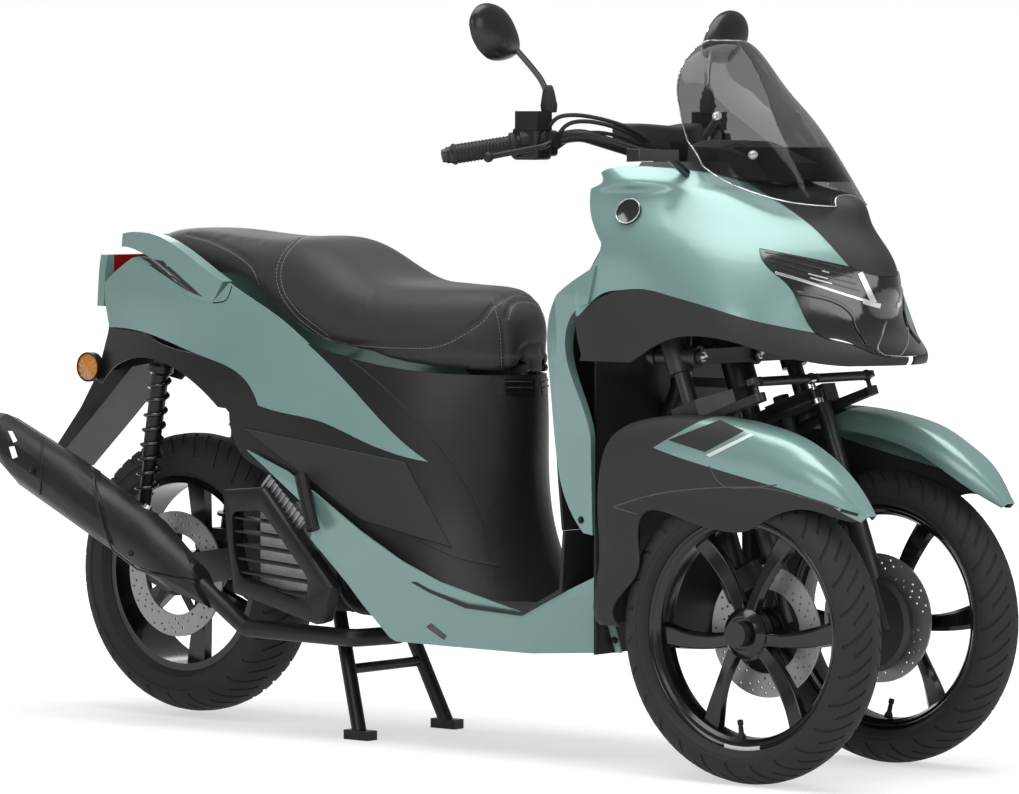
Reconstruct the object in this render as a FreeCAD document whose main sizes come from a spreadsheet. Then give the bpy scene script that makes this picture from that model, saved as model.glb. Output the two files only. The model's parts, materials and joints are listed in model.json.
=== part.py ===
import FreeCAD, Part
import math
import os
import Sketcher

# A leaning three-wheel scooter: two front wheels on a parallelogram of lean links, one driven rear wheel.
# X points forward, Y to the rider's left, Z up. The origin is on the floor under the middle of the length.
# It is parked on its centre stand, so the rear tyre hangs a little above the floor.

Vector = FreeCAD.Vector

SIZES = {
    # stance
    "wheelbase": 1410,
    "front_axle_x": 747.5,
    "front_track": 400,
    "caster_degrees": 20,
    "trail": 68,
    "rear_tyre_lift": 8,
    # tyres, rims and discs
    "front_tyre_radius": 250,
    "front_tyre_width": 90,
    "rear_tyre_radius": 256,
    "rear_tyre_width": 130,
    "front_rim_radius": 184,
    "front_rim_width": 62,
    "rear_rim_radius": 172,
    "rear_rim_width": 94,
    "rim_flange": 7,
    "rim_wall": 6,
    "front_disc_radius": 110,
    "rear_disc_radius": 115,
    "rear_disc_offset": 62,
    "front_hub_half": 28,
    "rear_hub_half": 36,
    "disc_thickness": 4,
    "front_disc_offset": 40,
    "axle_radius": 8,
    "rear_axle_radius": 9,
    "bearing_clearance": 0.05,
    # lean links and kingpins
    "lower_link_height": 700,
    "upper_link_height": 775,
    "link_half_height": 18,
    "link_thickness": 10,
    "link_standoff": 38,
    "link_pin_radius": 9,
    "head_tube_radius": 27,
    "head_tube_low": 640,
    "head_tube_high": 846,
    "carrier_radius": 22,
    "carrier_low": 672,
    "carrier_high": 800,
    "kingpin_offset": 40,
    "kingpin_radius": 14,
    "kingpin_low": 596,
    "kingpin_high": 814,
    "stem_radius": 16,
    # steering linkage
    "steering_arm_height": 588,
    "steering_arm_length": 138,
    "steering_arm_thickness": 14,
    "ball_radius": 10,
    "ball_clearance": 0.3,
    "ball_stud_radius": 4,
    "ball_height": 28,
    "tie_rod_radius": 8,
    "tie_rod_eye_radius": 14,
    "tie_rod_eye_depth": 10,
    # fork
    "fork_tube_radius": 18,
    "fork_tube_inset": 30,
    "fork_front_tube_lead": 59,
    "fork_tube_spacing": 85,
    "fork_tube_top": 622,
    "fork_tube_bottom": 232,
    "fork_bridge_depth": 30,
    # handlebar
    "bar_height": 1035,
    "bar_half_width": 340,
    "bar_radius": 11,
    "grip_radius": 16,
    "grip_length": 118,
    # centre stand
    "stand_pivot_x": -257.5,
    "stand_pivot_height": 240,
    "stand_foot_lead": 86,
    "stand_half_width": 120,
    "stand_leg_radius": 13,
    "stand_pivot_radius": 9,
    # general walls and gaps
    "panel_wall": 5,
    "panel_gap": 0.6,
    "seat_gap": 4,
    # seat hinge
    "seat_hinge_x": 128,
    "seat_hinge_height": 662,
    "seat_pin_radius": 4,
}

doc = FreeCAD.newDocument("LeaningTrike")
sheet = doc.addObject("Spreadsheet::Sheet", "Sizes")
for row, (alias, number) in enumerate(SIZES.items(), start=1):
    sheet.set("A{}".format(row), alias)
    sheet.set("B{}".format(row), str(number))
    sheet.setAlias("B{}".format(row), alias)
doc.recompute()


class Size(float):
    # A length in millimetres that remembers the sheet expression it was worked out from.
    def __new__(cls, value, text):
        made = super().__new__(cls, value)
        made.text = text
        return made

    def __add__(self, other):
        return combined(self, "+", other, float(self) + float(other))

    def __radd__(self, other):
        return combined(other, "+", self, float(other) + float(self))

    def __sub__(self, other):
        return combined(self, "-", other, float(self) - float(other))

    def __rsub__(self, other):
        return combined(other, "-", self, float(other) - float(self))

    def __mul__(self, other):
        return combined(self, "*", other, float(self) * float(other))

    def __rmul__(self, other):
        return combined(other, "*", self, float(other) * float(self))

    def __truediv__(self, other):
        return combined(self, "/", other, float(self) / float(other))

    def __neg__(self):
        return Size(-float(self), "(-{})".format(self.text))


def written(number):
    return getattr(number, "text", repr(float(number)))


def combined(left, sign, right, value):
    return Size(value, "({} {} {})".format(written(left), sign, written(right)))


def size(alias):
    return Size(sheet.get(alias), "Sizes." + alias)


nodes = []


def keep(piece, label):
    piece.Label = label
    nodes.append(piece)
    return piece


def bind(piece, **values):
    # Sets each property and ties it to the sheet where the value comes from there.
    for name, value in values.items():
        path = {"x": "Placement.Base.x", "y": "Placement.Base.y", "z": "Placement.Base.z"}.get(name, name)
        if hasattr(value, "text"):
            piece.setExpression(path, value.text)
        elif path != name:
            piece.setExpression(path, repr(float(value)))
        else:
            setattr(piece, name, value)


def feature(label, shape):
    piece = doc.addObject("Part::Feature", label)
    piece.Shape = shape
    piece.Placement = shape.Placement
    return keep(piece, label)


def nodes_by_label(label):
    return [node for node in nodes if node.Label == label][0].Shape


def mirrored(shape):
    return shape.mirror(Vector(0, 0, 0), Vector(0, 1, 0))


def both(shape):
    return Part.makeCompound([shape, mirrored(shape)])


def fused(shapes):
    whole = shapes[0].fuse(shapes[1:]) if len(shapes) > 1 else shapes[0]
    return whole.removeSplitter()


def rod(start, end, radius):
    run = end - start
    return Part.makeCylinder(radius, run.Length, start, run)


def block(corner, opposite):
    low = Vector(min(corner.x, opposite.x), min(corner.y, opposite.y), min(corner.z, opposite.z))
    high = Vector(max(corner.x, opposite.x), max(corner.y, opposite.y), max(corner.z, opposite.z))
    span = high - low
    return Part.makeBox(span.x, span.y, span.z, low)


def bent_tube(points, radius, bend):
    # Straight runs joined by tangent arcs of the given bend radius, swept by a circle.
    edges = []
    here = points[0]
    for before, corner, after in zip(points, points[1:], points[2:]):
        back = (before - corner).normalize()
        ahead = (after - corner).normalize()
        half = back.getAngle(ahead) / 2
        reach = bend / math.tan(half)
        first = corner + back * reach
        last = corner + ahead * reach
        inward = (back + ahead).normalize()
        middle = corner + inward * (bend / math.sin(half) - bend)
        edges.append(Part.makeLine(here, first))
        edges.append(Part.Arc(first, middle, last).toShape())
        here = last
    edges.append(Part.makeLine(here, points[-1]))
    path = Part.Wire(edges)
    ring = Part.Wire(Part.makeCircle(radius, points[0], points[1] - points[0]))
    return path.makePipeShell([ring], True, False)


def side_slab(outline, low, high):
    # An outline drawn in side view (x, z), as thick as low to high along Y.
    wire = Part.makePolygon([Vector(x, low, z) for x, z in outline + outline[:1]])
    return Part.Face(wire).extrude(Vector(0, high - low, 0))


def front_slab(outline, low, high):
    # An outline drawn in front view (y, z), as thick as low to high along X.
    wire = Part.makePolygon([Vector(low, y, z) for y, z in outline + outline[:1]])
    return Part.Face(wire).extrude(Vector(high - low, 0, 0))


def loft(sections):
    wires = [Part.makePolygon(points + points[:1]) for points in sections]
    return Part.makeLoft(wires, True, True)


def curve(points):
    # A smooth curve through the points, or a straight line where there are only two.
    if len(points) == 2:
        return Part.makeLine(*points)
    spline = Part.BSplineCurve()
    spline.interpolate(points)
    return spline.toShape()


def smooth_loft(sections):
    # Each section is a list of runs of points. Runs are smooth, and the corners between them stay sharp.
    wires = [Part.Wire([curve(run) for run in runs]) for runs in sections]
    return Part.makeLoft(wires, True, False)


def across(x, half_section):
    # A cross-section at x from its right half (y, z), mirrored to the left.
    right = [Vector(x, -y, z) for y, z in half_section]
    left = [Vector(x, y, z) for y, z in reversed(half_section)]
    return right + left


def across_runs(x, half_section):
    right = [Vector(x, -y, z) for y, z in half_section]
    left = [Vector(x, y, z) for y, z in reversed(half_section)]
    return [right, [right[-1], left[0]], left, [left[-1], right[0]]]


def level_runs(height, half_outline):
    # A plan outline at one height from its right half (x, y), smooth round the front and straight at the back.
    right = [Vector(x, -y, height) for x, y in half_outline]
    left = [Vector(x, y, height) for x, y in reversed(half_outline)]
    return [right + left, [left[-1], right[0]]]


def side_shape(runs, low, high):
    # A side-view outline of smooth runs (x, z). Each run starts where the one before it ends.
    corners = [run[0] for run in runs[1:]] + [runs[0][0]]
    edges = [curve([Vector(x, low, z) for x, z in run + [corner]]) for run, corner in zip(runs, corners)]
    return Part.Face(Part.Wire(edges)).extrude(Vector(0, high - low, 0))


def drawn(body, name, plane, points):
    # A closed sketch whose corners are tied to the sheet.
    sketch = body.newObject("Sketcher::SketchObject", name)
    origin = [part for part in body.Origin.OriginFeatures if part.Role == plane][0]
    sketch.AttachmentSupport = [(origin, "")]
    sketch.MapMode = "FlatFace"
    count = len(points)
    for index, corner in enumerate(points):
        following = points[(index + 1) % count]
        start = Vector(corner[0], corner[1], 0)
        end = Vector(following[0], following[1], 0)
        sketch.addGeometry(Part.LineSegment(start, end))
    for index in range(count):
        sketch.addConstraint(Sketcher.Constraint("Coincident", index, 2, (index + 1) % count, 1))
    for index, corner in enumerate(points):
        for kind, value in (("DistanceX", corner[0]), ("DistanceY", corner[1])):
            tie = sketch.addConstraint(Sketcher.Constraint(kind, -1, 1, index, 1, float(value)))
            if hasattr(value, "text"):
                sketch.setExpression("Constraints[{}]".format(tie), value.text)
    return sketch


def turned(body, name, points, axis="H_Axis"):
    # A full revolution of a profile drawn on the XY plane, about its horizontal axis.
    sketch = drawn(body, name + "Profile", "XY_Plane", points)
    ring = body.newObject("PartDesign::Revolution", name)
    ring.Profile = sketch
    ring.ReferenceAxis = (sketch, [axis])
    ring.Angle = 360
    sketch.Visibility = False
    return ring


def padded(body, name, points, depth):
    # A symmetric pad of a profile drawn on the YZ plane.
    sketch = drawn(body, name + "Profile", "YZ_Plane", points)
    pad = body.newObject("PartDesign::Pad", name)
    pad.Profile = sketch
    bind(pad, Length=depth)
    pad.Midplane = True
    sketch.Visibility = False
    return pad


front_axle_x = size("front_axle_x")
rear_axle_x = front_axle_x - size("wheelbase")
half_track = size("front_track") / 2
kingpin_y = half_track - size("kingpin_offset")
front_radius = size("front_tyre_radius")
rear_radius = size("rear_tyre_radius")
rear_axle_z = rear_radius + size("rear_tyre_lift")
clearance = size("bearing_clearance")
wall = float(size("panel_wall"))
gap = float(size("panel_gap"))

caster = math.radians(size("caster_degrees"))
kingpin_up = Vector(-math.sin(caster), 0, math.cos(caster))
kingpin_ahead = Vector(math.cos(caster), 0, math.sin(caster))
SIDES = {"left": 1, "right": -1}


def kingpin_at(height, side=0):
    # The point of a steering axis at this height: side 0 is the central one.
    reach = float(front_axle_x + size("trail")) - height * math.tan(caster)
    return Vector(reach, side * kingpin_y, height)


def wheel_body(label, x, y, z):
    # The body's own X axis lies along the axle, so it is turned to point along Y.
    body = doc.addObject("PartDesign::Body", label)
    body.Placement = FreeCAD.Placement(Vector(x, y, z), FreeCAD.Rotation(Vector(0, 0, 1), 90))
    bind(body, x=x, y=y, z=z)
    return keep(body, label)


def tyre(label, x, y, z, radius, width, rim_radius, rim_width):
    body = wheel_body(label, x, y, z)
    half = width / 2
    bead = rim_width / 2 - 5
    crown = [(half * 0.5, radius - 5), (half * 0.9, radius - 20), (half, radius - 36)]
    side = [(half * 0.86, rim_radius + 16), (bead, rim_radius + 8), (bead, rim_radius)]
    right = [(0.0, radius)] + crown + side
    left = [(-a, b) for a, b in reversed(right[1:])]
    turned(body, "Carcass", right + left)


def rim(label, x, y, z, radius, width, hub_radius, hub_ends, bore, spoke, pairs):
    body = wheel_body(label, x, y, z)
    half = width / 2
    seat = half - 5
    flange = radius + size("rim_flange")
    inner = radius - size("rim_wall")
    barrel = [(-half, inner), (half, inner), (half, flange), (seat, flange), (seat, radius)]
    barrel += [(-seat, radius), (-seat, flange), (-half, flange)]
    turned(body, "Barrel", barrel)
    right_end, left_end = hub_ends
    turned(body, "Hub", [(right_end, bore), (left_end, bore), (left_end, hub_radius), (right_end, hub_radius)])
    # each pair of spokes leaves the hub close together and spreads to the barrel
    spread = math.pi / (2 * pairs)
    reach = (float(hub_radius) - 4, float(inner) + 2)
    spokes = []
    for tag, turn in (("Leading", -spread), ("Trailing", spread)):
        outline = []
        for far, angle, half_width in ((0, turn * 0.32, spoke[0]), (1, turn, spoke[1])):
            across_spoke = Vector(-math.sin(angle), math.cos(angle), 0) * half_width
            centre = Vector(math.cos(angle), math.sin(angle), 0) * reach[far]
            ends = [centre - across_spoke, centre + across_spoke]
            outline += ends if far == 0 else ends[::-1]
        blade = padded(body, tag + "Spoke", [(corner.x, corner.y) for corner in outline], spoke[2])
        spokes.append(blade)
    doc.recompute()
    pattern = body.newObject("PartDesign::PolarPattern", "Spokes")
    pattern.Originals = spokes
    axis = [part for part in body.Origin.OriginFeatures if part.Role == "X_Axis"][0]
    pattern.Axis = (axis, [""])
    pattern.Angle = 360
    pattern.Occurrences = pairs
    body.Tip = pattern


def disc(label, x, y, z, radius, bore):
    body = wheel_body(label, x, y, z)
    half = size("disc_thickness") / 2
    turned(body, "Plate", [(-half, bore), (half, bore), (half, radius), (-half, radius)])


def front_wheel(name, side):
    y = half_track * side
    # the hub runs inboard to the face of the disc
    disc_end = (size("front_disc_offset") - size("disc_thickness") / 2) * -side
    hub_ends = sorted((disc_end, size("front_hub_half") * side), key=float)
    tyre("front_tyre_" + name, front_axle_x, y, front_radius, front_radius, size("front_tyre_width"),
         size("front_rim_radius"), size("front_rim_width"))
    rim("front_rim_" + name, front_axle_x, y, front_radius, size("front_rim_radius"), size("front_rim_width"),
        34, hub_ends, size("axle_radius") + clearance, (11, 19, 16), 3)
    disc_y = y - size("front_disc_offset") * side
    disc("front_disc_" + name, front_axle_x, disc_y, front_radius, size("front_disc_radius"), 24)


for name, side in SIDES.items():
    front_wheel(name, side)

tyre("rear_tyre", rear_axle_x, 0, rear_axle_z, rear_radius, size("rear_tyre_width"),
     size("rear_rim_radius"), size("rear_rim_width"))
rim("rear_rim", rear_axle_x, 0, rear_axle_z, size("rear_rim_radius"), size("rear_rim_width"),
    40, (-(size("rear_disc_offset") - size("disc_thickness") / 2), size("rear_hub_half")),
    size("rear_axle_radius") + clearance, (13, 21, 20), 3)
disc("rear_disc", rear_axle_x, -size("rear_disc_offset"), rear_axle_z, size("rear_disc_radius"), 26)


def link_plate(centre, standoff):
    # One plate of a lean link: a bar across the vehicle with three pin eyes.
    low = centre.x + standoff
    thick = float(size("link_thickness"))
    half = float(size("link_half_height"))
    reach = float(kingpin_y)
    bar = block(Vector(low, -reach, centre.z - half * 0.72), Vector(low + thick, reach, centre.z + half * 0.72))
    eyes = []
    holes = []
    along = Vector(1, 0, 0)
    for y in (-reach, 0, reach):
        eyes.append(Part.makeCylinder(half, thick, Vector(low, y, centre.z), along))
        pin_hole = float(size("link_pin_radius") + clearance)
        holes.append(Part.makeCylinder(pin_hole, thick + 2, Vector(low - 1, y, centre.z), along))
    return fused([bar] + eyes).cut(Part.makeCompound(holes))


def link(label, height):
    centre = kingpin_at(float(height))
    standoff = float(size("link_standoff"))
    front = link_plate(centre, standoff)
    rear = link_plate(centre, -standoff - float(size("link_thickness")))
    feature(label, Part.makeCompound([front, rear]))


link("upper_arm", size("upper_link_height"))
link("lower_arm", size("lower_link_height"))


def pivot_pins(side, radius):
    # Pins that stick out ahead and behind an upright, one pair for each link, with washers and end nuts.
    pieces = []
    reach = float(size("link_standoff") + size("link_thickness"))
    for height in (size("lower_link_height"), size("upper_link_height")):
        centre = kingpin_at(float(height), side)
        pin = Vector(reach + 7, 0, 0)
        pieces.append(rod(centre - pin, centre + pin, float(size("link_pin_radius"))))
        boss = Vector(float(size("link_standoff")) - 0.5, 0, 0)
        pieces.append(rod(centre - boss, centre + boss, 15))
        for way in (-1, 1):
            nut = centre + Vector(way * (reach + 0.5), 0, 0)
            pieces.append(rod(nut, nut + Vector(way * 6.5, 0, 0), 13))
    return pieces


def upright(side, radius, low, high, bore):
    foot = kingpin_at(low, side)
    head = kingpin_at(high, side)
    tube = rod(foot, head, radius)
    whole = fused([tube] + pivot_pins(side, radius))
    over = kingpin_up * 5
    return whole.cut(rod(foot - over, head + over, bore))


for name, side in SIDES.items():
    feature(
        "carrier_" + name,
        upright(side, float(size("carrier_radius")), float(size("carrier_low")), float(size("carrier_high")),
                float(size("kingpin_radius") + clearance)),
    )


def steering_arm(side):
    # An arm that points forward from a steering axis, drawn flat in the plane square to that axis.
    root = kingpin_at(float(size("steering_arm_height")), side)
    tip = root + kingpin_ahead * float(size("steering_arm_length"))
    half = kingpin_up * (float(size("steering_arm_thickness")) / 2)
    bar_half = Vector(0, 10, 0)
    wire = Part.makePolygon([root - bar_half * 1.6 - half, tip - bar_half - half, tip + bar_half - half,
                             root + bar_half * 1.6 - half, root - bar_half * 1.6 - half])
    plate = Part.Face(wire).extrude(half * 2)
    eye = rod(tip - half, tip + half, 12)
    boss = rod(root - half, root + half, 24)
    return [plate, eye, boss], tip


def ball_point(side):
    tip = steering_arm(side)[1]
    return tip + kingpin_up * float(size("ball_height"))


def ball_stud(side):
    ball = ball_point(side)
    tip = steering_arm(side)[1]
    return [Part.makeSphere(float(size("ball_radius")), ball), rod(tip, ball, float(size("ball_stud_radius")))]


def fork_tube_line(side, lead):
    # The centre line of a fork tube, parallel to the kingpin and inboard of the wheel.
    shift = Vector(lead, -side * float(size("fork_tube_inset")), 0)
    top = kingpin_at(float(size("fork_tube_top")), side) + shift
    bottom = kingpin_at(float(size("fork_tube_bottom")), side) + shift
    return top, bottom


def fork(name, side):
    pieces = []
    leads = [float(size("fork_front_tube_lead")), float(size("fork_front_tube_lead") - size("fork_tube_spacing"))]
    radius = float(size("fork_tube_radius"))
    inner_y = side * (float(kingpin_y) - float(size("fork_tube_inset")))
    for lead in leads:
        top, bottom = fork_tube_line(side, lead)
        waist = top + (bottom - top) * 0.5
        pieces.append(rod(top, waist, radius * 0.78))
        pieces.append(rod(waist, bottom, radius))
    low = kingpin_at(float(size("kingpin_low")), side)
    high = kingpin_at(float(size("kingpin_high")), side)
    pieces.append(rod(low, high, float(size("kingpin_radius"))))
    cap = kingpin_at(float(size("carrier_high")) + 1, side)
    pieces.append(rod(cap, high, 20))
    arm, tip = steering_arm(side)
    pieces += arm
    pieces += ball_stud(side)
    # the bridge that joins the kingpin to the two tube tops
    depth = kingpin_up * float(size("fork_bridge_depth"))
    crown = kingpin_at(float(size("kingpin_low")) - 4, side)
    rear_edge = leads[1] - radius - 4
    front_edge = leads[0] + radius + 4
    inner_edge = inner_y - side * (radius + 3)
    flat = [
        crown + kingpin_ahead * rear_edge + Vector(0, inner_edge - crown.y, 0),
        crown + kingpin_ahead * front_edge + Vector(0, inner_edge - crown.y, 0),
        crown + kingpin_ahead * front_edge + Vector(0, inner_y + side * 16 - crown.y, 0),
        crown + kingpin_ahead * 26 + Vector(0, side * 22, 0),
        crown - kingpin_ahead * 26 + Vector(0, side * 22, 0),
    ]
    plate = Part.Face(Part.makePolygon(flat + flat[:1]))
    pieces.append(plate.extrude(depth))
    # the foot that joins the tubes and carries the axle
    axle = Vector(front_axle_x, inner_y, front_radius)
    front_foot = fork_tube_line(side, leads[0])[1]
    rear_foot = fork_tube_line(side, leads[1])[1]
    web_half = 11
    web = [
        (rear_foot.x, rear_foot.z - 2), (front_foot.x, front_foot.z - 2),
        (front_foot.x - 14, front_foot.z + 46), (rear_foot.x - 14, rear_foot.z + 46),
    ]
    pieces.append(side_slab(web, inner_y - web_half, inner_y + web_half))
    pieces.append(rod(axle - Vector(0, side * 16, 0), axle + Vector(0, side * 24, 0), 19))
    # the round cover inboard of the disc
    cover_centre = axle + Vector(6, 0, -6)
    cover = rod(cover_centre - Vector(0, side * 12, 0), cover_centre + Vector(0, side * 13, 0), 84)
    pieces.append(cover.makeChamfer(7, cover.Edges))
    axle_end = Vector(front_axle_x, side * (float(half_track) + 42), front_radius)
    pieces.append(rod(axle, axle_end, float(size("axle_radius"))))
    end_cap = Vector(0, side * 13, 0)
    pieces.append(rod(axle_end - end_cap, axle_end + end_cap * 0.4, 21))
    shape = fused(pieces)
    feature("fork_" + name, shape)
    return shape


forks = {}
for name, side in SIDES.items():
    forks[side] = fork(name, side)


def caliper(axle, disc_y, disc_radius, inward, angle):
    # A body that straddles the disc rim at the given angle, with a slot for the disc.
    reach = disc_radius - 18
    centre = axle + Vector(math.cos(angle) * reach, 0, math.sin(angle) * reach)
    centre.y = disc_y
    size_along = 44
    low = centre - Vector(26, 13, size_along)
    high = centre + Vector(26, 13, size_along)
    body = block(low, high)
    body = body.makeChamfer(6, body.Edges)
    body.rotate(centre, Vector(0, 1, 0), -math.degrees(angle))
    slot_half = float(size("disc_thickness")) / 2 + 1
    slot = Part.makeCylinder(disc_radius + 4, slot_half * 2, Vector(axle.x, disc_y - slot_half, axle.z), Vector(0, 1, 0))
    body = body.cut(slot)
    # a mounting arm to the fork or case behind it
    arm = block(centre + Vector(-16, inward * 8, -16), centre + Vector(16, inward * 22, 16))
    return fused([body, arm])


for name, side in SIDES.items():
    axle = Vector(front_axle_x, 0, front_radius)
    disc_y = float(side * (half_track - size("front_disc_offset")))
    body = caliper(axle, disc_y, float(size("front_disc_radius")), -side, math.radians(118))
    feature("front_caliper_" + name, body.cut(forks[side]))

# The tie rod and the ball stud that joins it to the pitman arm.


def tie_rod():
    along = Vector(0, 1, 0)
    eye_radius = float(size("tie_rod_eye_radius"))
    half_depth = kingpin_up * (float(size("tie_rod_eye_depth")) / 2)
    pieces = []
    cavities = []
    for side in (-1, 0, 1):
        ball = ball_point(side)
        pieces.append(rod(ball - half_depth, ball + half_depth, eye_radius))
        cavities.append(Part.makeSphere(float(size("ball_radius") + size("ball_clearance")), ball))
        # flat faces above and below the eye, so that the stud can tilt
        for way in (-1, 1):
            cavities.append(rod(ball + half_depth * way, ball + half_depth * way * 3, eye_radius))
    start = ball_point(-1) + along * (eye_radius - 3)
    end = ball_point(1) - along * (eye_radius - 3)
    pieces.append(rod(start, end, float(size("tie_rod_radius"))))
    return fused(pieces).cut(Part.makeCompound(cavities))


feature("tie_rod", tie_rod())
centre_tip = steering_arm(0)[1]
stud_tail = centre_tip - kingpin_up * 16
stud = fused([
    Part.makeSphere(float(size("ball_radius")), ball_point(0)),
    rod(centre_tip + kingpin_up * 7.5, ball_point(0), float(size("ball_stud_radius"))),
    rod(stud_tail, centre_tip + kingpin_up * 9, 6),
    rod(stud_tail, stud_tail + kingpin_up * 8, 10),
])
feature("tie_rod_stud", stud)

# Handlebar with its stem and pitman arm.


def handlebar():
    pieces = []
    foot = kingpin_at(float(size("steering_arm_height")) - 8)
    head = kingpin_at(float(size("bar_height")) + 14)
    pieces.append(rod(foot, head, float(size("stem_radius"))))
    arm, tip = steering_arm(0)
    pieces += arm
    centre = kingpin_at(float(size("bar_height")))
    pieces.append(block(centre - Vector(26, 34, 22), centre + Vector(26, 34, 22)))
    for side in (-1, 1):
        half = float(size("bar_half_width"))
        path = [
            centre + Vector(0, 0, 0),
            centre + Vector(0, side * 90, 0),
            centre + Vector(-60, side * 190, 34),
            centre + Vector(-218, side * half, 0),
        ]
        pieces.append(bent_tube(path, float(size("bar_radius")), 60))
    whole = fused(pieces)
    hole = rod(tip - kingpin_up * 20, tip + kingpin_up * 20, 6 + float(clearance))
    return whole.cut(hole)


feature("handlebar", handlebar())


def bar_line(side):
    # The straight outer part of the bar, where the grip and controls sit.
    centre = kingpin_at(float(size("bar_height")))
    knee = centre + Vector(-60, side * 190, 34)
    end = centre + Vector(-218, side * float(size("bar_half_width")), 0)
    return knee, end


def controls():
    pieces = []
    for side in (-1, 1):
        knee, end = bar_line(side)
        back = (knee - end).normalize()
        grip_end = end + back * float(size("grip_length"))
        grip = rod(end, grip_end, float(size("grip_radius")))
        weight = rod(end - back * 9, end, 14)
        switch = rod(grip_end, grip_end + back * 42, 23)
        pivot = grip_end + back * 30 + Vector(34, 0, 2)
        lever_tip = end + back * 14 + Vector(62, 0, -6)
        lever = bent_tube([pivot, pivot - back * 40 + Vector(30, 0, -4), lever_tip], 5, 20)
        ball = Part.makeSphere(9, lever_tip)
        perch = block(pivot - Vector(36, 9, 12), pivot + Vector(8, 9, 12))
        reservoir = block(grip_end + back * 20 + Vector(-22, -20, 20), grip_end + back * 20 + Vector(26, 20, 52))
        whole = fused([grip, weight, switch, lever, ball, perch, reservoir])
        whole = whole.cut(rod(knee, end, float(size("bar_radius"))))
        pieces.append(whole)
    return Part.makeCompound(pieces)


control_shape = controls()
feature("bar_controls", control_shape)


def mirror_pair():
    pieces = []
    for side in (-1, 1):
        knee, end = bar_line(side)
        back = (knee - end).normalize()
        foot = end + back * float(size("grip_length") + 20) + Vector(4, 0, 52.3)
        glass = Vector(298, side * 328, 1241)
        path = [foot, foot + Vector(20, side * 4, 40), foot + Vector(70, side * 20, 100),
                glass + Vector(26, -side * 34, -26), glass + Vector(10, 0, 0)]
        stem = bent_tube(path, 5, 24)
        rings = []
        for shift, scale in ((-14, 0.9), (-11, 1), (2, 0.97), (14, 0.7), (19, 0.3)):
            oval = Part.Wire([Part.Ellipse(Vector(0, 0, 0), 60 * scale, 48 * scale).toShape()])
            oval.rotate(Vector(0, 0, 0), Vector(0, 0, 1), 90)
            oval.rotate(Vector(0, 0, 0), Vector(0, 1, 0), 90)
            oval.translate(glass + Vector(shift, 0, 0))
            rings.append(oval)
        head = Part.makeLoft(rings, True, False)
        pieces.append(fused([stem, head]))
    return Part.makeCompound(pieces)


feature("mirrors", mirror_pair().cut(control_shape))

# Sides of the rear body, which the frame reaches with stays.
rear_levels = [
    (236, [(-840, 96), (-600, 172), (-380, 186), (-150, 188), (40, 170), (140, 112), (204, 48), (218, 14)]),
    (330, [(-840, 96), (-600, 172), (-380, 187), (-150, 188), (20, 156), (110, 100), (156, 44), (168, 14)]),
    (430, [(-840, 96), (-600, 170), (-380, 188), (-150, 187), (10, 146), (86, 94), (128, 42), (138, 14)]),
    (540, [(-840, 96), (-600, 166), (-380, 186), (-150, 184), (6, 142), (82, 90), (126, 40), (136, 13)]),
    (640, [(-840, 96), (-600, 160), (-380, 182), (-150, 174), (0, 134), (78, 86), (124, 38), (134, 12)]),
    (720, [(-840, 92), (-600, 158), (-380, 172), (-150, 160), (-6, 120), (66, 78), (110, 34), (118, 12)]),
    (790, [(-840, 86), (-600, 156), (-380, 160), (-150, 140), (-20, 104), (46, 66), (84, 30), (92, 10)]),
    (840, [(-840, 80), (-600, 142), (-380, 140), (-150, 120), (-30, 88), (30, 56), (64, 24), (72, 8)]),
    (884, [(-840, 56), (-600, 112), (-380, 118), (-150, 96), (-40, 70), (10, 44), (40, 18), (46, 6)]),
]
rear_outer = smooth_loft([level_runs(z, half) for z, half in rear_levels])
rear_inner_levels = []
for z, half in rear_levels:
    rear_inner_levels.append(level_runs(z, [(x - wall, max(y - wall, 1)) for x, y in half]))
rear_inner = smooth_loft(rear_inner_levels)
rear_skin = rear_outer.cut(rear_inner)

# Frame.


def stay(x, z, side):
    # A short stay from a frame tube to the inside of a side panel.
    return rod(Vector(x, side * 100, z), Vector(x, side * 240, z), 7).common(rear_inner)


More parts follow.
